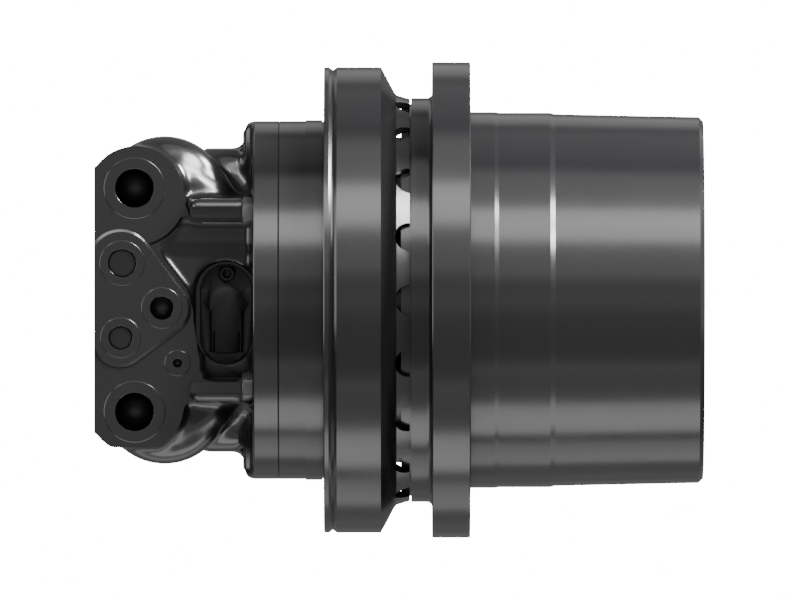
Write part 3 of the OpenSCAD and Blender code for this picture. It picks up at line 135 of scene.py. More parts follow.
@dataclass(frozen=True)
class Finish:
    """One real surface, with what its material needs.

    Attributes:
        name: The surface's common name.
        colour: Main colour, sRGB hex.
        shade: Second colour that clouds the first, sRGB hex.
        roughness: Middle roughness.
        spread: How far the roughness wanders to either side.
        texture: How the surface was made.
        grain_mm: Size of one grain, turning mark or orange-peel cell.
        depth_mm: Depth of the relief.
        metallic: One for bare metal.
        ior: Index of refraction; bare metal keeps the shader's own.
    """

    name: str
    colour: str
    shade: str
    roughness: float
    spread: float
    texture: Texture
    grain_mm: float
    depth_mm: float
    metallic: float = 0.0
    ior: float = 1.5

    def material(self) -> Material:
        """Build the material, or give the one already built.

        Returns:
            The finished material.
        """
        known = bpy.data.materials.get(self.name)
        if known is not None:
            return known
        made = bpy.data.materials.new(self.name)
        made.use_nodes = True
        tree = made.node_tree
        tree.nodes.clear()
        place = add_node(tree, "ShaderNodeTexCoord").outputs["Object"]
        grain = self._grain(tree, place)
        clouds = add_node(tree, "ShaderNodeTexNoise", CLOUDS, {"Vector": place}).outputs["Fac"]
        tints = {6: linear(self.colour), 7: linear(self.shade)}
        colour = add_node(tree, "ShaderNodeMix", tints, {0: clouds}, data_type="RGBA").outputs[2]
        low, high = self.roughness - self.spread, self.roughness + self.spread
        limits = {**CLOUD_RANGE, "To Min": low, "To Max": high}
        rough = add_node(tree, "ShaderNodeMapRange", limits, {"Value": clouds}).outputs["Result"]
        bump = {"Strength": 1.0, "Distance": self.depth_mm * MM}
        relief = add_node(tree, "ShaderNodeBump", bump, {"Height": grain}).outputs["Normal"]
        values: dict[str | int, object] = {"Metallic": self.metallic}
        if not self.metallic:
            values["IOR"] = self.ior
        links = {"Base Color": colour, "Roughness": rough, "Normal": relief}
        shader = add_node(tree, "ShaderNodeBsdfPrincipled", values, links)
        add_node(tree, "ShaderNodeOutputMaterial", links={"Surface": shader.outputs[0]})
        return made

    def _grain(self, tree: NodeTree, place: NodeSocket) -> NodeSocket:
        """Add the height pattern of the surface.

        Args:
            tree: Node tree of the material.
            place: Object coordinates.

        Returns:
            The socket with the height.
        """
        kind = "ShaderNodeTexNoise"
        values = {"Scale": 1 / (self.grain_mm * MM), "Detail": self.texture.value[1]}
        if self.texture is not Texture.TURNED:
            values["Roughness"] = GRAIN_ROUGHNESS
            return add_node(tree, kind, values, {"Vector": place}).outputs["Fac"]
        # A turning mark is a ring about the axis: it runs over the sum of station and radius
        parts = add_node(tree, "ShaderNodeSeparateXYZ", links={0: place}).outputs
        flat = add_node(tree, "ShaderNodeCombineXYZ", links={"Y": parts["Y"], "Z": parts["Z"]})
        radius = add_node(tree, "ShaderNodeVectorMath", links={0: flat.outputs[0]}, operation="LENGTH")
        terms = {0: parts["X"], 1: radius.outputs["Value"]}
        track = add_node(tree, "ShaderNodeMath", links=terms, operation="ADD").outputs[0]
        return add_node(tree, kind, values, {"W": track}, noise_dimensions="1D").outputs["Fac"]


# Two-part black enamel over a sand casting: the film rounds the sand's grain off to a soft swell
CASTING_PAINT = Finish(
    "black_enamel_on_casting", "#111112", "#0e0e0f", 0.22, 0.02, Texture.CAST, 3.0, 0.006
)
# The same enamel over turned iron: the tool marks just show through it
DRUM_PAINT = Finish(
    "black_enamel_on_turned_iron", "#131314", "#101011", 0.21, 0.015, Texture.TURNED, 0.9, 0.003
)
# Zinc phosphate leaves the cover screws a dull mid grey
PHOSPHATED_STEEL = Finish(
    "phosphated_steel", "#5e5e60", "#525254", 0.46, 0.05, Texture.FORGED, 0.5, 0.004, metallic=1.0
)
# Black oxide leaves forged steel dark with a dull oiled sheen
OXIDE_STEEL = Finish(
    "black_oxide_steel", "#3a3a3c", "#2c2c2e", 0.42, 0.06, Texture.FORGED, 0.7, 0.01, metallic=1.0
)
# Glass-filled nylon: matt black with the tool's fine spark erosion
GLASS_NYLON = Finish(
    "glass_filled_nylon", "#0b0b0c", "#09090a", 0.31, 0.03, Texture.MOULDED, 0.35, 0.006, ior=1.38
)
# Moulded port plugs, a little smoother than the nylon
PLUG_NYLON = Finish(
    "moulded_plug_nylon", "#0b0b0c", "#09090a", 0.3, 0.03, Texture.MOULDED, 0.5, 0.004, ior=1.42
)
# Nitrile rubber: dark, dull and even
NITRILE = Finish(
    "nitrile_rubber", "#121212", "#0e0e0e", 0.62, 0.05, Texture.MOULDED, 0.4, 0.006, ior=1.52
)
# Ground steel shows a bright, slightly streaked face
GROUND_STEEL = Finish(
    "ground_steel", "#c3c3c6", "#b4b4b8", 0.2, 0.04, Texture.TURNED, 0.12, 0.0015, metallic=1.0
)
# Case-hardened gear teeth are a duller grey than ground faces
GEAR_STEEL = Finish(
    "case_hardened_steel", "#a2a2a6", "#8d8d92", 0.32, 0.05, Texture.GROUND, 0.3, 0.002, metallic=1.0
)
# Machined iron is darker than steel, with graphite specks
BARE_IRON = Finish(
    "machined_cast_iron", "#7d7d80", "#67676a", 0.4, 0.06, Texture.TURNED, 0.35, 0.004, metallic=1.0
)
# Lead bronze: warm, with darker clouds of lead
BRONZE = Finish(
    "lead_bronze", "#c79a5b", "#ad8048", 0.32, 0.05, Texture.GROUND, 0.3, 0.002, metallic=1.0
)
# Sintered lining: brown, porous and dull
LINING = Finish("sintered_lining", "#6d5a45", "#54442f", 0.75, 0.05, Texture.SINTERED, 0.6, 0.03)
# Oil-tempered wire keeps a thin dark skin
SPRING_STEEL = Finish(
    "oil_tempered_steel", "#77777b", "#5c5c60", 0.34, 0.05, Texture.GROUND, 0.4, 0.002, metallic=1.0
)

SLOT_FINISH = {
    "housing_paint": CASTING_PAINT,
    "drum_paint": DRUM_PAINT,
    "bolt_black": OXIDE_STEEL,
    "plug_plastic": PLUG_NYLON,
    "sensor_plastic": GLASS_NYLON,
    "seal_rubber": NITRILE,
    "ground_steel": GROUND_STEEL,
    "gear_steel": GEAR_STEEL,
    "cast_iron": BARE_IRON,
    "bronze": BRONZE,
    "friction_lining": LINING,
    "spring_steel": SPRING_STEEL,
}


# Outlines, all in millimetres


def circle_points(x: float, z: float, radius: float, first: float, last: float, steps: int) -> list[Point]:
    """Points of an arc in the X Z plane.

    Args:
        x: Centre.
        z: Centre.
        radius: Radius.
        first: First angle in degrees, from +X towards +Z.
        last: Last angle in degrees.
        steps: Number of steps.

    Returns:
        The points, both ends included.
    """
    turns = [math.radians(first + (last - first) * i / steps) for i in range(steps + 1)]
    return [(x + radius * math.cos(t), z + radius * math.sin(t)) for t in turns]


def ring_points(x: float, z: float, radius: float) -> list[Point]:
    """Points of a whole circle, one every five degrees."""
    return circle_points(x, z, radius, 0, 355, RING_STEPS)


def oval_points(x: float, z: float, radius: float, straight: float, steps: int) -> list[Point]:
    """Outline of an upright oval, with some steps in each of its arcs."""
    half = straight / 2
    top = circle_points(x, z + half, radius, 0, 180, steps)
    return top + circle_points(x, z - half, radius, 180, 360, steps)


def box_points(left: float, right: float, low: float, high: float) -> list[Point]:
    """Corners of a rectangle."""
    return [(left, low), (right, low), (right, high), (left, high)]


def outer_hull(points: Sequence[Point]) -> list[Point]:
    """Find the convex outline round some points.

    Args:
        points: The points.

    Returns:
        The corners of the outline, counter-clockwise.
    """

    def chain(run: Sequence[Point]) -> list[Point]:
        """Keep the corners of one side of the outline."""
        kept: list[Point] = []
        for x, z in run:
            while len(kept) > 1:
                (ax, az), (bx, bz) = kept[-2:]
                if (bx - ax) * (z - az) - (bz - az) * (x - ax) > 0:
                    break
                kept.pop()
            kept.append((x, z))
        return kept[:-1]

    run = sorted(set(points))
    return chain(run) + chain(run[::-1])


# Modelling steps


def deselect_all() -> None:
    """Deselect every object."""
    bpy.ops.object.select_all(action="DESELECT")


def alone(piece: Object) -> None:
    """Select one object alone and make it active."""
    if bpy.context.mode != "OBJECT":
        bpy.ops.object.mode_set(mode="OBJECT")
    deselect_all()
    piece.select_set(True)
    bpy.context.view_layer.objects.active = piece


def newest(name: str) -> Object:
    """Name the object that the last operator added, and put its place into its mesh.

    Args:
        name: Name of the object and its mesh.

    Returns:
        The object, unturned at the origin.
    """
    piece = bpy.context.active_object
    piece.name = name
    piece.data.name = name
    alone(piece)
    bpy.ops.object.transform_apply(location=True, rotation=True, scale=True)
    return piece


def edit_all(piece: Object) -> None:
    """Enter edit mode with the whole mesh selected."""
    alone(piece)
    bpy.ops.object.mode_set(mode="EDIT")
    bpy.ops.mesh.select_all(action="SELECT")


def deselect_mesh(piece: Object, kind: str) -> None:
    """Make the mesh's selection one of faces or edges, with none selected."""
    alone(piece)
    bpy.ops.object.mode_set(mode="EDIT")
    bpy.ops.mesh.select_mode(type=kind)
    bpy.ops.mesh.select_all(action="DESELECT")
    bpy.ops.object.mode_set(mode="OBJECT")


def pull_faces(piece: Object, test: Callable[[Vector, Vector], bool], move: Triple) -> None:
    """Extrude some faces of a mesh.

    Args:
        piece: The mesh object.
        test: Gets a face's centre and normal, and says whether it moves.
        move: The move in millimetres.
    """
    deselect_mesh(piece, "FACE")
    for face in piece.data.polygons:
        face.select = test(face.center, face.normal)
    found = any(face.select for face in piece.data.polygons)
    bpy.ops.object.mode_set(mode="EDIT")
    if found:
        step = tuple(part * MM for part in move)
        bpy.ops.mesh.extrude_region_move(TRANSFORM_OT_translate={"value": step})
    bpy.ops.object.mode_set(mode="OBJECT")


def close_mesh() -> None:
    """Merge doubled corners, turn all faces outwards and leave edit mode."""
    bpy.ops.mesh.select_all(action="SELECT")
    bpy.ops.mesh.remove_doubles(threshold=MERGE)
    bpy.ops.mesh.normals_make_consistent(inside=False)
    bpy.ops.object.mode_set(mode="OBJECT")


def solid_copy(node: str, name: str) -> Object:
    """Copy a solid of the frame, with its doubled corners merged.

    Args:
        node: The solid's name in the frame.
        name: Name of the copy.

    Returns:
        The copy.
    """
    body = bpy.data.objects.new(name, FRAME["nodes"][node].data.copy())
    bpy.context.scene.collection.objects.link(body)
    edit_all(body)
    bpy.ops.mesh.remove_doubles(threshold=MERGE)
    bpy.ops.object.mode_set(mode="OBJECT")
    return body


def apply_modifier(piece: Object, kind: str, **settings: object) -> None:
    """Add a modifier to a piece and apply it at once.

    Args:
        piece: The mesh object.
        kind: Type name of the modifier.
        **settings: Its properties.
    """
    alone(piece)
    modifier = piece.modifiers.new(kind.lower(), kind)
    for name, value in settings.items():
        setattr(modifier, name, value)
    bpy.ops.object.modifier_apply(modifier=modifier.name)


def join(first: Object, others: Sequence[Object]) -> Object:
    """Join other objects into the first one."""
    alone(first)
    for other in others:
        other.select_set(True)
    bpy.ops.object.join()
    return first


def combine(piece: Object, tool: Object, operation: str) -> None:
    """Combine one mesh with another, and delete the other.

    Args:
        piece: The mesh that is changed.
        tool: The other mesh.
        operation: "UNION", "DIFFERENCE" or "INTERSECT".
    """
    apply_modifier(piece, "BOOLEAN", operation=operation, object=tool, solver="MANIFOLD")
    bpy.data.objects.remove(tool)


def cut(piece: Object, *tools: Object) -> None:
    """Cut some tools out of a mesh in one go."""
    tool = join(tools[0], tools[1:]) if len(tools) > 1 else tools[0]
    combine(piece, tool, "DIFFERENCE")


def round_bar(
    name: str, a: Triple, b: Triple, radius: float, steps: int = FINE_TURN, end_radius: float | None = None
) -> Object:
    """Model a closed bar between two points, straight or tapered; sizes in millimetres.

    Args:
        name: Name of the object.
        a: Centre of the first end.
        b: Centre of the other end.
        radius: Radius at the first end.
        steps: Sides of the bar.
        end_radius: Radius at the other end, where the bar tapers.

    Returns:
        The bar.
    """
    deselect_all()
    start, end = Vector(a) * MM, Vector(b) * MM
    along = end - start
    bpy.ops.mesh.primitive_cone_add(
        vertices=steps,
        radius1=radius * MM,
        radius2=(radius if end_radius is None else end_radius) * MM,
        depth=along.length,
        location=(start + end) / 2,
        rotation=along.to_track_quat("Z", "Y").to_euler(),
    )
    return newest(name)


def ball(name: str, centre: Triple, radius: float) -> Object:
    """Model a ball; sizes in millimetres."""
    deselect_all()
    place = Vector(centre) * MM
    bpy.ops.mesh.primitive_uv_sphere_add(
        segments=ROUGH_TURN, ring_count=ROUGH_TURN // 2, radius=radius * MM, location=place
    )
    return newest(name)


def block(name: str, low: Triple, high: Triple) -> Object:
    """Add a plain box between two corners in millimetres, as a cutting tool."""
    deselect_all()
    middle = [(a + b) / 2 * MM for a, b in zip(low, high)]
    bpy.ops.mesh.primitive_cube_add(size=1.0, location=middle)
    bpy.context.active_object.scale = [(b - a) * MM for a, b in zip(low, high)]
    return newest(name)


def plate(name: str, outline: Sequence[Point], near: float, far: float, flare: float = 0.0) -> Object:
    """Model a plate whose outline lies in the X Z plane; sizes in millimetres.

    Args:
        name: Name of the object.
        outline: Corners as X and Z.
        near: Y of the first face.
        far: Y of the second face.
        flare: How much wider the second face is on every side.

    Returns:
        The plate.
    """
    deselect_all()
    bpy.ops.mesh.primitive_circle_add(vertices=len(outline), radius=1.0, fill_type="NGON")
    piece = newest(name)
    xs = [x * MM for x, _ in outline]
    zs = [z * MM for _, z in outline]
    for vertex, x, z in zip(piece.data.vertices, xs, zs):
        vertex.co = (x, near * MM, z)
    edit_all(piece)
    bpy.ops.mesh.extrude_region_move(TRANSFORM_OT_translate={"value": (0, far * MM - near * MM, 0)})
    if flare:
        middle = ((min(xs) + max(xs)) / 2, far * MM, (min(zs) + max(zs)) / 2)
        wider = 2 * flare * MM
        grow = (1 + wider / (max(xs) - min(xs)), 1, 1 + wider / (max(zs) - min(zs)))
        bpy.ops.transform.resize(value=grow, center_override=middle)
    close_mesh()
    return piece


def turned(name: str, along: str, line: Point, outline: Sequence[Point], steps: int) -> Object:
    """Turn an outline about a line along X or Y; sizes in millimetres.

    Args:
        name: Name of the object.
        along: "X" or "Y".
        line: Y and Z of a line along X, or X and Z of a line along Y.
        outline: Points as station on the line and radius. One that starts and ends on the line
            gives a full piece, any other a ring.
        steps: Steps of one turn.

    Returns:
        The turned piece.
    """
    deselect_all()
    bpy.ops.mesh.primitive_circle_add(vertices=len(outline), radius=1.0, fill_type="NOTHING")
    piece = newest(name)
    across, height = line
    for vertex, (station, radius) in zip(piece.data.vertices, outline):
        if along == "X":
            vertex.co = (station * MM, across * MM, (height + radius) * MM)
        else:
            vertex.co = ((across + radius) * MM, station * MM, height * MM)
    if outline[0][1] == 0 and outline[-1][1] == 0:
        ends = {0, len(outline) - 1}
        deselect_mesh(piece, "EDGE")
        for edge in piece.data.edges:
            edge.select = set(edge.vertices) == ends
        bpy.ops.object.mode_set(mode="EDIT")
        bpy.ops.mesh.delete(type="EDGE")
    edit_all(piece)
    if along == "X":
        centre, axis = (0, across * MM, height * MM), (1, 0, 0)
    else:
        centre, axis = (across * MM, 0, height * MM), (0, 1, 0)
    bpy.ops.mesh.spin(steps=steps, angle=2 * math.pi, center=centre, axis=axis)
    close_mesh()
    return piece


def soften(piece: Object, width: float, segments: int, angle: float) -> None:
    """Round every edge sharper than an angle.

    Args:
        piece: The mesh object.
        width: Width of the rounding in millimetres.
        segments: Steps of the rounding.
        angle: The angle in degrees.
    """
    apply_modifier(
        piece,
        "BEVEL",
        width=width * MM,
        segments=segments,
        limit_method="ANGLE",
        angle_limit=math.radians(angle),
        use_clamp_overlap=True,
    )


def dress(piece: Object, finish: Finish, smooth_degrees: float = SMOOTH_DEGREES) -> None:
    """Give a piece its one material and smooth its shallow edges.

    Args:
        piece: The mesh object.
        finish: Its finish.
        smooth_degrees: Edges flatter than this are shaded smooth.
    """
    piece.data.materials.clear()
    piece.data.materials.append(finish.material())
    alone(piece)
    bpy.ops.object.shade_smooth_by_angle(angle=math.radians(smooth_degrees))


# The port cover


@dataclass
class Port:
    """One threaded port in a face that looks to -Y; all sizes in millimetres.

    Attributes:
        x: Station along the axis.
        z: Height.
        bore: Radius of the bore, at the thread's root.
        spot: Radius of the faced boss round it.
        face: Y of the face it opens in.
        rise: How far the boss stands out of that face.
        depth: Depth of the bore.
        lead: How far the tool starts before the face.
        chamfer: Chamfer of the mouth, and how much wider the boss is at its foot.
        point: Length of the drill's point for each unit of its radius.
        root: Depth of the boss below the face.
        sink: How far the boss's flank runs below the face.
    """

    x: float
    z: float
    bore: float
    spot: float
    face: float
    rise: float
    depth: float
    lead: float = 4.0
    chamfer: float = 0.3
    point: float = 0.4
    root: float = 3.0
    sink: float = 0.1

    def cutter(self) -> Object:
        """Model the tool that bores the port."""
        front = self.face - self.lead
        top = self.face - self.rise
        end = self.face + self.depth
        mouth = self.bore + self.chamfer
        outline = [
            (front, 0.0), (front, mouth), (top, mouth), (top + self.chamfer, self.bore),
            (end, self.bore), (end + self.bore * self.point, 0.0),
        ]
        return turned("cut_port", "Y", (self.x, self.z), outline, FINE_TURN)

    def boss(self) -> Object:
        """Model the low faced boss round the port."""
        top = self.face - self.rise
        foot = self.spot + self.rise + self.chamfer
        end = self.face + self.root
        outline = [(top, 0.0), (top, self.spot), (self.face + self.sink, foot), (end, foot), (end, 0.0)]
        return turned("boss", "Y", (self.x, self.z), outline, LARGE_TURN)


@dataclass
class PortCover:
    """The cast port cover: a sand casting with machined pads, ports and sensor pocket.

    All sizes are in millimetres, from the same measures as the solid. In the fields, a plane is
    the Y of a level of the port face, and a box is its least and greatest X and Z.
    """

    left: float = -183.0
    joint: float = -36.0
    far: float = 400.0
    smooth_degrees: float = 22.0

    # Rough casting: machining stock, filled corners and the smoothing of the remeshing's grid
    stock: float = 5.0
    fill_margin: float = 0.4
    voxel: float = 1.7
    fillet: float = 5.0
    smooth_factor: float = 0.5
    smooth_passes: int = 14
    horn_y: float = -31.0
    # X, distance from the axis's plane and radius at each bend of the two passages
    horn_route: tuple[Triple, ...] = (
        (-123.0, 97.0, 28.0), (-108.0, 91.0, 26.0), (-95.0, 83.0, 24.0), (-84.0, 73.0, 21.0),
        (-71.0, 58.0, 20.0),
    )

    # The port face and where its cuts end at the webs
    triangle_plane: float = -76.0
    upper_plane: float = -75.0
    lower_plane: float = -73.0
    band_z: float = 64.0
    web_end: float = -106.5
    pocket_web_end: float = -96.5
    upper_pad: Triple = (-150.0, 84.4, 38.4)
    upper_web: tuple[Point, ...] = (
        (-1, 30), (-1, 100), (33, 84), (70.8, 75.2), (74, 67.4),
        (64.2, 64.8), (56, 58), (44.2, 48.8), (36, 40),
    )
    lobes: tuple[Triple, ...] = (
        (-160.7, 29.4, 24.0), (-129.1, -6.4, 20.0), (-161.9, -30.1, 20.6),
    )
    # How much wider than its lobes the triangle is 1 mm above its face, and how far its side runs
    # out for each millimetre down: first for the bevel, then for the steeper side below it
    bevel: Point = (-1.0, 2.0)
    skirt: Point = (2.4, 0.3)
    pad_slope: float = 1.0
    ports: tuple[Port, ...] = (
        Port(-150.8, 89.1, 15.4, 24.0, -75.0, 0.4, 96.0),
        Port(-150.8, -89.1, 15.4, 24.0, -73.0, 0.4, 94.0),
        Port(-160.7, 29.4, 11.1, 17.6, -76.0, 0.3, 23.0),
        Port(-129.1, -6.4, 9.3, 16.0, -76.0, 0.3, 39.0),
        Port(-161.9, -30.1, 9.4, 15.8, -76.0, 0.3, 23.0),
        Port(-116.5, -50.3, 3.4, 10.0, -73.0, 0.3, 16.0),
    )

    # Ribs for the front screws: first and last X, inner and outer distance from the axis's plane
    rib: Quad = (-107.0, -63.0, 65.6, 73.2)
    rib_front: float = -98.0
    rib_rear: float = -80.0
    rib_stock: float = 2.0
    rib_space: float = 6.0
    rib_run: float = 3.0

    # Sensor pocket, with the radius and depth of its two bores
    pocket_x: float = -78.0
    pocket_z: float = -10.3
    pocket_r: float = 24.0
    pocket_straight: float = 33.6
    pocket_floor: float = -39.0
    slot_box: Quad = (-95.0, -60.6, -62.4, -32.4)
    probe_bore: Point = (9.15, 13.0)
    screw_bore: Point = (3.2, 10.5)
    screw_shift: Point = (0.6, 14.4)

    # Cover screws
    bolt_circle: float = 124.0
    bolt_z: float = 70.0
    bolt_pocket_r: float = 14.6
    bolt_pocket_depth: float = 9.4
    bolt_seat: float = -56.0
    bolt_hole_r: float = 7.4

    # Inside: first and last X, radius and Y of each round space, then the seal groove's depth,
    # inner and outer radius
    spaces: tuple[Quad, ...] = (
        (-58.0, -35.0, 30.0, 0.0), (-92.0, -56.0, 33.0, 0.0),
        (-184.0, -99.0, 12.0, -22.0), (-184.0, -169.0, 15.0, -22.0),
    )
    groove: Triple = (2.7, 110.1, 113.9)

    # Flange rim: where its turned band starts, its depth, its lap over the casting and its skin
    rim_start: float = -55.4
    rim_r: float = 143.2
    rim_root: float = 14.0
    rim_lap: float = 0.4
    rim_skin: float = 0.7
    rim_chamfer: float = 0.6
    rim_tool: float = 9.0

    def build(self) -> None:
        """Model the whole cover in place of its solid."""
        body = self.cast_body()
        self.machine(body)
        dress(body, CASTING_PAINT, self.smooth_degrees)
        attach(body, "housing")
        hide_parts("port_cover")
        LOG.info("port cover casting: %d faces", len(body.data.polygons))

    def cast_body(self) -> Object:
        """Model the rough casting, with stock on the machined faces and soft fillets.

        Returns:
            The casting before it is machined.
        """
        body = solid_copy("port_cover", "port_cover_casting")
        front = self.lower_plane * MM + IN_PLANE
        rear = self.upper_plane * MM - IN_PLANE
        left = self.left * MM + IN_PLANE
        web_end = self.web_end * MM
        stock = -self.stock
        pull_faces(body, lambda c, n: n.y < -SQUARE and rear < c.y < front and c.x < web_end, (0, stock, 0))
        pull_faces(body, lambda c, n: n.x < -SQUARE and c.x < left, (stock, 0, 0))
        join(body, self.fills())
        for swell in (self.fillet, -self.fillet):
            apply_modifier(body, "REMESH", mode="VOXEL", voxel_size=self.voxel * MM)
            apply_modifier(body, "DISPLACE", strength=swell * MM, mid_level=0.0)
        apply_modifier(body, "REMESH", mode="VOXEL", voxel_size=self.voxel * MM)
        apply_modifier(body, "SMOOTH", factor=self.smooth_factor, iterations=self.smooth_passes)
        return body

    def fills(self) -> list[Object]:
        """Model what the casting has more than the solid: closed ports, full passages and rib stock.

        Returns:
            The pieces, not yet joined.
        """
        made = []
        for port in self.ports:
            a = (port.x, self.upper_plane - self.stock + APART, port.z)
            b = (port.x, port.face + port.depth + PAST, port.z)
            made.append(round_bar("fill", a, b, port.spot + self.fill_margin, ROUGH_TURN))
        first, last, inner, outer = self.rib
        for side in (-1, 1):
            route = [((x, self.horn_y, side * z), radius) for x, z, radius in self.horn_route]
            for (a, start), (b, end) in zip(route, route[1:]):
                made.append(round_bar("horn", a, b, start, PLAIN_TURN, end))
                made.append(ball("knuckle", b, end))
            low, high = sorted((side * inner, side * outer))
            near = (first, self.rib_front - self.rib_stock, low - PAST)
            made.append(block("rib", near, (last, self.rib_rear, high + PAST)))
        return made

    def machine(self, body: Object) -> None:
        """Cut the faces, ports, pocket and bolt seats into the casting."""
        far = self.far
        cut(body, block("cut_left", (-far, -far, -far), (self.left, far, far)))
        cut(body, block("cut_joint", (self.joint, -far, -far), (far, far, far)))
        bevel, skirt = ((self.triangle(extra), slope) for extra, slope in (self.bevel, self.skirt))
        pads = [(outline, self.pad_slope) for outline in self.pad_and_web()]
        for band in (
            (-far, -self.band_z, self.web_end),
            (-self.band_z, self.band_z, self.pocket_web_end),
            (self.band_z, far, self.web_end),
        ):
            low, high, right = band
            cut(body, block("cut_plane", (-far, -far, low), (right, self.triangle_plane, high)))
            self.cut_level(body, band, self.triangle_plane, self.upper_plane, [bevel])
            self.cut_level(body, band, self.upper_plane, self.lower_plane, [skirt, *pads])
        self.mill_ribs(body)
        for port in self.ports:
            combine(body, port.boss(), "UNION")
        cut(body, *(port.cutter() for port in self.ports))
        self.cut_pocket(body)
        self.cut_bolt_seats(body)
        self.cut_inside(body)
        self.turn_rim(body)

    def mill_ribs(self, body: Object) -> None:
        """Mill the front and the inner side of the two ribs that carry the front cover screws."""
        first, last, inner, outer = self.rib
        space = inner - self.rib_space
        for side in (-1, 1):
            low, high = sorted((side * space, side * (outer + PAST)))
            near = (first - self.rib_run, -self.far, low)
            cut(body, block("cut_rib_front", near, (last, self.rib_front, high)))
            low, high = sorted((side * space, side * inner))
            cut(body, block("cut_rib_side", (first, -self.far, low), (last, self.upper_plane - PAST, high)))

    def cut_level(
        self,
        body: Object,
        band: Triple,
        top: float,
        floor: float,
        keeps: Sequence[tuple[list[Point], float]],
    ) -> None:
        """Mill one level of the port face down, leaving some forms proud with sloping sides.

        Args:
            body: The casting.
            band: Lowest and highest Z of the cut, and its right end.
            top: Y of the level above.
            floor: Y of the plane that is milled.
            keeps: Forms that stay, each as its outline just above the triangle's face and how far
                its sides run out for each millimetre of depth.
        """
        low, high, right = band
        slab = block("cut_step", (-self.far, top - APART, low), (right, floor, high))
        near, end = self.triangle_plane - PAST, floor + PAST
        for outline, slope in keeps:
            cut(slab, plate("keep", outline, near, end, (end - near) * slope))
        cut(body, slab)

    def pad_and_web(self) -> list[list[Point]]:
        """Outlines of the round pad and the web beside it, which stand in the upper plane."""
        return [ring_points(*self.upper_pad), [(self.left + x, z) for x, z in self.upper_web]]

    def triangle(self, extra: float) -> list[Point]:
        """Outline of the raised triangle: the hull of its three lobes, grown by some extra."""
        return outer_hull([p for x, z, radius in self.lobes for p in ring_points(x, z, radius + extra)])

    def cut_pocket(self, body: Object) -> None:
        """Cut the sensor's oval pocket, its slot, the probe's bore and the screw's hole."""
        x, z = self.pocket_x, self.pocket_z
        oval = oval_points(x, z, self.pocket_r, self.pocket_straight, ARC_STEPS)
        for outline in (oval, box_points(*self.slot_box)):
            cut(body, plate("cut_pocket", outline, -self.far, self.pocket_floor))
        shift_x, shift_z = self.screw_shift
        screw = (x + shift_x, z + self.pocket_straight / 2 + shift_z)
        for (x, z), (radius, depth) in (((x, z), self.probe_bore), (screw, self.screw_bore)):
            a = (x, self.pocket_floor - PAST, z)
            cut(body, round_bar("cut_bore", a, (x, self.pocket_floor + depth, z), radius))

    def cut_bolt_seats(self, body: Object) -> None:
        """Cut the counterbores and holes of the six cover screws."""
        for radius, first, last in (
            (self.bolt_pocket_r, self.bolt_seat - self.bolt_pocket_depth, self.bolt_seat),
            (self.bolt_hole_r, self.bolt_seat - PAST, self.joint + PAST),
        ):
            cutters = [
                round_bar("cut_bolt", (first, y, z), (last, y, z), radius, PLAIN_TURN)
                for y, z in self.bolt_places()
            ]
            cut(body, *cutters)

    def bolt_places(self) -> list[Point]:
        """Y and Z of the six cover screws: one above, one below, two in front and two behind."""
        side = math.sqrt(self.bolt_circle**2 - self.bolt_z**2)
        around = [(y, z) for y in (-side, side) for z in (-self.bolt_z, self.bolt_z)]
        return [(0.0, self.bolt_circle), (0.0, -self.bolt_circle), *around]

    def cut_inside(self, body: Object) -> None:
        """Cut the shaft's cavities, the spool's bore and the seal groove."""
        for first, last, radius, y in self.spaces:
            cut(body, round_bar("cut_space", (first, y, 0), (last, y, 0), radius, LARGE_TURN))
        depth, inner, outer = self.groove
        ring = box_points(self.joint - depth, self.joint + PAST, inner, outer)
        cut(body, turned("cut_groove", "X", (0, 0), ring, GROOVE_TURN))

    def turn_rim(self, body: Object) -> None:
        """Turn the flange's rim true, with its small chamfer at the joint."""
        edge, end, r, chamfer = self.rim_start, self.joint, self.rim_r, self.rim_chamfer
        waste = box_points(edge, end + self.rim_tool, r - self.rim_skin, r + self.rim_tool)
        cut(body, turned("cut_rim", "X", (0, 0), waste, RIM_TURN))
        root, start = r - self.rim_root, edge - self.rim_lap
        rim = [
            (start, root), (start, r - chamfer), (edge + chamfer / 2, r),
            (end - chamfer, r), (end, r - chamfer), (end, root),
        ]
        combine(body, turned("rim", "X", (0, 0), rim, RIM_TURN), "UNION")


# Pieces on the cover


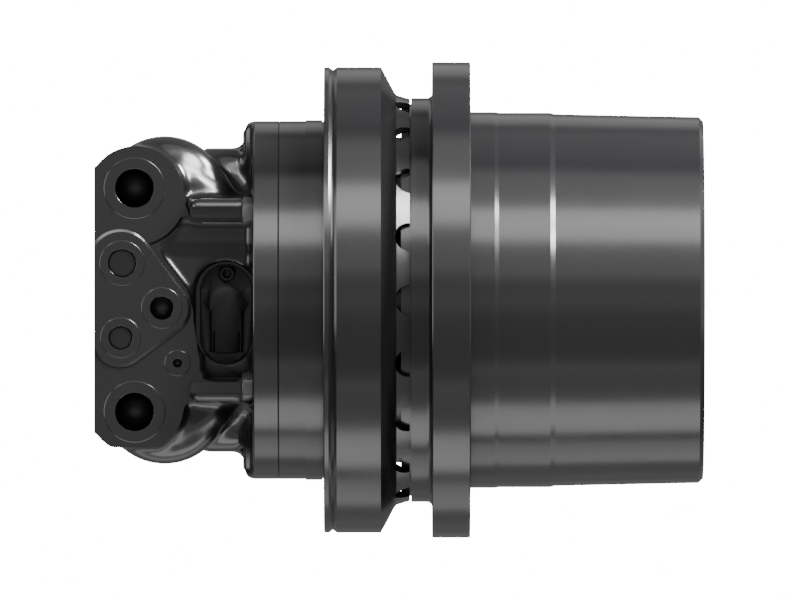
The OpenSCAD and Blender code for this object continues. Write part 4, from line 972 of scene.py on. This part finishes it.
@dataclass
class SpeedSensor:
    """The moulded speed sensor: an oval insert with a recess, a plug shroud and a tail block.

    All sizes are in millimetres. In the fields, a face is the Y of a surface that looks to -Y.
    """

    # The oval insert, with its recess inside a thin rim
    x: float = -77.8
    z: float = -11.3
    radius: float = 21.0
    straight: float = 37.5
    rim: float = 1.0
    face: float = -47.0
    recess_floor: float = -40.6
    foot: float = -39.1
    edge: float = 0.25
    edge_degrees: float = 35.0
    smooth_degrees: float = 40.0
    # What stays in the recess: a ledge on either side, from the shroud's middle, and all below it
    ledge: tuple[Point, ...] = (
        (14.4, -48.8), (14.4, -8.6), (19.0, -1.6), (15.6, -1.6), (15.6, 8.8), (26.0, 8.8), (26.0, -48.8),
    )
    below: Triple = (-110.0, -40.0, -80.0)
    # The shroud, and the inner, outer and upper end of the slots at either side of its foot
    shroud_x: float = -77.6
    shroud_half: float = 13.4
    shroud_top: float = 10.4
    shroud_bottom: float = -41.6
    shroud_face: float = -53.0
    shroud_foot: float = 0.1
    slots: tuple[Triple, ...] = ((11.7, 14.4, -8.0), (9.2, 10.7, -25.0))
    slot_floor: float = -41.0
    # The tail block, and the gap round the oval that parts it off
    tail_box: Quad = (-94.4, -61.2, -61.9, -40.0)
    tail_face: float = -46.4
    gap: float = 0.7
    gap_floor: float = -40.6
    # The probe behind
    probe_x: float = -78.0
    probe_z: float = -10.3
    probe_r: float = 8.9
    probe_end: float = -27.6

    def build(self) -> None:
        """Model the sensor in place of its solid."""
        body = self.oval("speed_sensor_moulding", self.radius, self.face, self.foot)
        cut(body, self.recess())
        combine(body, self.shroud(), "UNION")
        combine(body, self.tail(), "UNION")
        a = (self.probe_x, self.foot - APART, self.probe_z)
        b = (self.probe_x, self.probe_end, self.probe_z)
        combine(body, round_bar("probe", a, b, self.probe_r), "UNION")
        soften(body, self.edge, 2, self.edge_degrees)
        dress(body, GLASS_NYLON, self.smooth_degrees)
        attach(body, "housing")
        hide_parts("speed_sensor")

    def oval(self, name: str, radius: float, near: float, far: float) -> Object:
        """Model a plate with the insert's outline, at some radius of its arcs."""
        return plate(name, oval_points(self.x, self.z, radius, self.straight, ROUGH_TURN), near, far)

    def recess(self) -> Object:
        """Model what the mould's core leaves open: the top of the oval and the slot round the shroud.

        Returns:
            The core.
        """
        core = self.oval("recess", self.radius - self.rim, self.face - 2 * PAST, self.recess_floor)
        left, right, low = self.below
        outlines = [[(self.shroud_x + side * x, z) for x, z in self.ledge] for side in (-1, 1)]
        for outline in (*outlines, box_points(left, right, low, self.shroud_bottom)):
            cut(core, plate("ledge", outline, self.face - 4 * PAST, self.recess_floor + 2 * PAST))
        return core

    def shroud(self) -> Object:
        """Model the arch-topped plug shroud with the slots at its lower corners.

        Returns:
            The shroud.
        """
        x, half, bottom = self.shroud_x, self.shroud_half, self.shroud_bottom
        outline = circle_points(x, self.shroud_top - half, half, 0, 180, ARC_STEPS)
        outline += [(x - half, bottom + self.shroud_foot), (x + half, bottom + self.shroud_foot)]
        body = plate("shroud", outline, self.shroud_face, self.recess_floor + APART)
        for inner, outer, top in self.slots:
            for side in (-1, 1):
                left, right = sorted((x + side * inner, x + side * outer))
                slot = box_points(left, right, bottom - PAST, top)
                cut(body, plate("slot", slot, self.shroud_face - PAST, self.slot_floor))
        return body

    def tail(self) -> Object:
        """Model the flat block below the oval, with the gap that parts it from the oval."""
        body = plate("tail", box_points(*self.tail_box), self.tail_face, self.foot)
        cut(body, self.oval("gap", self.radius + self.gap, self.face - PAST, self.gap_floor))
        return body


@dataclass
class SocketScrew:
    """A low socket-head screw that looks to -Y; sizes in millimetres."""

    x: float = -77.4
    z: float = 20.9
    seat: float = -40.7
    head_r: float = 6.0
    head: float = 6.6
    head_chamfer: float = 0.6
    shank_r: float = 3.0
    tip: float = -30.0
    tip_chamfer: float = 0.8
    # The hexagon's inner radius and depth, then the drill's depth at its edge and at its point
    socket: float = 3.6
    socket_depth: float = 3.4
    drill_edge: float = 3.6
    drill_point: float = 6.2

    def build(self) -> None:
        """Model the screw in place of its solid."""
        line = (self.x, self.z)
        top, seat, tip = self.seat - self.head, self.seat, self.tip
        head, shank = self.head_r, self.shank_r
        outline = [
            (top, 0.0), (top, head - self.head_chamfer), (top + self.head_chamfer, head),
            (seat, head), (seat, shank), (tip - self.tip_chamfer, shank),
            (tip, shank - self.tip_chamfer), (tip, 0.0),
        ]
        body = turned("sensor_screw_turned", "Y", line, outline, FINE_TURN)
        hexagon = circle_points(*line, self.socket / math.cos(math.pi / 6), 0, 300, 5)
        cut(body, plate("socket", hexagon, top - PAST, top + self.socket_depth))
        drill = [
            (top - PAST, 0.0), (top - PAST, self.socket),
            (top + self.drill_edge, self.socket), (top + self.drill_point, 0.0),
        ]
        cut(body, turned("drill", "Y", line, drill, ROUGH_TURN))
        dress(body, OXIDE_STEEL)
        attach(body, "housing")
        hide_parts("sensor_screw")


@dataclass
class CoverBolt:
    """A hexagon screw along X with washer face and chamfered head; sizes in millimetres."""

    seat: float = -56.0
    head: float = 8.8
    across: float = 21.0
    shank_r: float = 6.7
    tip: float = -20.2
    tip_chamfer: float = 1.2
    washer: float = 0.6
    washer_inset: float = 0.3
    # The round end face is this much inside the flats, and its cone this steep
    chamfer: float = 0.6
    chamfer_slope: float = 0.58
    edge: float = 0.2
    edge_degrees: float = 25.0

    def build(self, number: int, y: float, z: float) -> None:
        """Model one screw at its place.

        Args:
            number: Number of the screw.
            y: Place of its axis.
            z: Place of its axis.
        """
        top, seat, tip = self.seat - self.head, self.seat, self.tip
        corner, flat = self.across / math.sqrt(3), self.across / 2
        cone = (corner - flat + self.chamfer) * self.chamfer_slope
        ring, shank = flat - self.washer_inset, self.shank_r
        outline = [
            (top, 0.0), (top, flat - self.chamfer), (top + cone, corner),
            (seat - self.washer, corner), (seat - self.washer, ring), (seat, ring), (seat, shank),
            (tip - self.tip_chamfer, shank), (tip, shank - self.tip_chamfer), (tip, 0.0),
        ]
        body = turned(f"cover_bolt_{number}", "X", (y, z), outline, PLAIN_TURN)
        bar = round_bar("hexagon", (top - PAST, y, z), (tip + PAST, y, z), corner, 6)
        combine(body, bar, "INTERSECT")
        soften(body, self.edge, 1, self.edge_degrees)
        dress(body, PHOSPHATED_STEEL)
        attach(body, "housing")
        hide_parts("cover_bolts")


@dataclass
class GearDrum:
    """The drum's turned outside, with the run-outs that the tool leaves at its two steps.

    All sizes are in millimetres. Corners within some slack of a station count as lying on it.
    """

    barrel_x: float = 136.8
    barrel_r: float = 149.8
    seat_runout: float = 2.6
    taper_x: float = 183.0
    step_x: float = 179.0
    step_shift: float = 1.4
    outside_r: float = 140.0
    slack_x: float = 0.05
    slack_r: float = 0.3
    smooth_degrees: float = 7.0

    def build(self) -> None:
        """Model the drum from a copy of its solid."""
        body = solid_copy("gear_drum", "gear_drum_turned")
        bpy.ops.mesh.customdata_custom_splitnormals_clear()
        for vertex in body.data.vertices:
            radius = math.hypot(vertex.co.y, vertex.co.z) / MM
            x = vertex.co.x / MM
            off_step = min(abs(x - self.taper_x), abs(x - self.step_x))
            if abs(x - self.barrel_x) < self.slack_x and abs(radius - self.barrel_r) < self.slack_r:
                vertex.co.x += self.seat_runout * MM
            elif radius > self.outside_r and off_step < self.slack_x:
                vertex.co.x += self.step_shift * MM
        dress(body, DRUM_PAINT, self.smooth_degrees)
        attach(body, "drum")
        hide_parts("gear_drum")


# Solids that keep their shape


def dress_solids() -> None:
    """Give every carried-over solid the finish of its material slot."""
    slots = {part["node"]: part["material_slot"] for part in FRAME["record"]["subparts"]}
    for name, solid in FRAME["nodes"].items():
        finish = SLOT_FINISH[slots[name]]
        material = finish.material()
        if not solid.material_slots:
            solid.data.materials.append(material)
        for slot in solid.material_slots:
            slot.material = material
        LOG.info("solid %s: %s", name, finish.name)


# The studio


@dataclass
class Softbox:
    """A rectangular studio light aimed at the motor: place and size in metres, power in watts."""

    name: str
    place: Triple
    size: Point
    power: float

    def build(self) -> None:
        """Add the light."""
        data = bpy.data.lights.new(self.name, "AREA")
        data.shape = "RECTANGLE"
        data.size, data.size_y = self.size
        data.energy = self.power
        lamp = bpy.data.objects.new(self.name, data)
        lamp.location = self.place
        aim = Vector(Studio.target) - Vector(self.place)
        lamp.rotation_euler = aim.to_track_quat("-Z", "Y").to_euler()
        lamp.visible_camera = False
        bpy.context.scene.collection.objects.link(lamp)


@dataclass
class Studio:
    """Floor, lights and camera; lengths in metres.

    Attributes:
        target: Point that the camera looks at.
        distance: Distance of the camera.
        clip_end: How far the camera sees.
        view_width: Width of the view there.
        sensor: Width of the sensor in millimetres.
        floor_z: Height of the floor.
        floor_size: Side of the floor.
        floor_glow: Strength of the floor's light.
        room_dim: Strength of the room's light on the motor.
        room_white: Strength of the room where the camera sees it.
        reach: Distance of the light strips from the axis.
        strip_length: Length of every strip.
        strips: Angle of each strip, upwards from the camera's side, its power and its height.
        keys: Small lights that make the highlights.
    """

    target: Triple = (0.0608, 0.0, 0.0)
    distance: float = 20.0
    clip_end: float = 200.0
    view_width: float = 0.64
    sensor: float = 36.0
    floor_z: float = -0.1903
    floor_size: float = 60.0
    floor_glow: float = 17.0
    room_dim: float = 0.15
    room_white: float = 18.0
    reach: float = 2.2
    strip_length: float = 4.0
    strips: tuple[Triple, ...] = (
        (-155, 1.0, 0.8), (-130, 3.0, 1.1), (-107, 19.0, 0.9), (-77, 46.0, 0.9),
        (-52, 10.0, 1.1), (-20, 8.0, 2.0), (6, 4.0, 0.9), (25, 13.0, 0.9),
        (46, 74.0, 0.8), (70, 16.0, 1.1), (110, 4.0, 1.2), (145, 5.0, 0.8),
    )
    keys: tuple[Softbox, ...] = (
        Softbox("key_front", (0.99, -1.10, 1.65), (0.5, 0.5), 60.0),
        Softbox("key_edge", (1.18, -1.40, 1.19), (0.4, 0.4), 55.0),
        Softbox("key_right", (1.64, -0.15, 1.50), (0.7, 0.7), 220.0),
        Softbox("fill_left", (-1.15, -1.10, 1.55), (0.5, 0.5), 6.0),
        Softbox("wall_left", (-3.0, -0.4, 0.6), (2.2, 2.4), 70.0),
        Softbox("wall_right", (3.2, 0.2, 0.6), (2.2, 2.4), 12.0),
    )

    def build(self) -> None:
        """Set the whole studio up."""
        self.camera()
        self.floor()
        self.world()
        for angle, power, height in self.strips:
            turn = math.radians(angle)
            place = (self.target[0], -self.reach * math.cos(turn), self.reach * math.sin(turn))
            Softbox(f"strip_{angle}", place, (self.strip_length, height), power).build()
        for key in self.keys:
            key.build()
        LOG.info("studio: %d strips and %d keys", len(self.strips), len(self.keys))

    def camera(self) -> None:
        """Put the camera level with the axis, far off on the port side, as the photograph has it."""
        data = bpy.data.cameras.new("camera")
        data.sensor_width = self.sensor
        data.lens = self.sensor * self.distance / self.view_width
        data.clip_end = self.clip_end
        camera = bpy.data.objects.new("camera", data)
        camera.location = (self.target[0], -self.distance, self.target[2])
        camera.rotation_euler = (math.pi / 2, 0, 0)
        bpy.context.scene.collection.objects.link(camera)
        bpy.context.scene.camera = camera

    def floor(self) -> None:
        """Lay the pale floor under the sprocket flange."""
        deselect_all()
        bpy.ops.mesh.primitive_plane_add(size=self.floor_size, location=(0, 0, self.floor_z))
        floor = newest("floor")
        # White studio board
        board = bpy.data.materials.new("white_studio_board")
        board.use_nodes = True
        shader = board.node_tree.nodes["Principled BSDF"]
        for socket, value in (
            ("Base Color", linear("#f4f4f4")),
            ("Roughness", 0.9),
            ("Emission Color", linear("#ffffff")),
            ("Emission Strength", self.floor_glow),
        ):
            shader.inputs[socket].default_value = value
        floor.data.materials.append(board)
        floor.visible_glossy = floor.visible_diffuse = floor.visible_shadow = False

    def world(self) -> None:
        """Fill the room: white where the camera looks past the motor, dim elsewhere."""
        world = bpy.data.worlds.new("studio_room")
        bpy.context.scene.world = world
        world.use_nodes = True
        tree = world.node_tree
        tree.nodes.clear()
        ray = add_node(tree, "ShaderNodeLightPath").outputs["Is Camera Ray"]
        dim, white = (
            add_node(tree, "ShaderNodeBackground", {"Color": linear("#ffffff"), "Strength": power}).outputs[0]
            for power in (self.room_dim, self.room_white)
        )
        mixed = add_node(tree, "ShaderNodeMixShader", links={0: ray, 1: dim, 2: white})
        add_node(tree, "ShaderNodeOutputWorld", links={"Surface": mixed.outputs[0]})


def main() -> None:
    """Build everything in order."""
    logging.basicConfig(level=logging.INFO, format="%(name)s: %(message)s")
    deselect_all()
    Studio().build()
    dress_solids()
    cover = PortCover()
    cover.build()
    SpeedSensor().build()
    SocketScrew().build()
    for number, (y, z) in enumerate(cover.bolt_places()):
        CoverBolt().build(number, y, z)
    GearDrum().build()


if __name__ == "__main__":
    main()
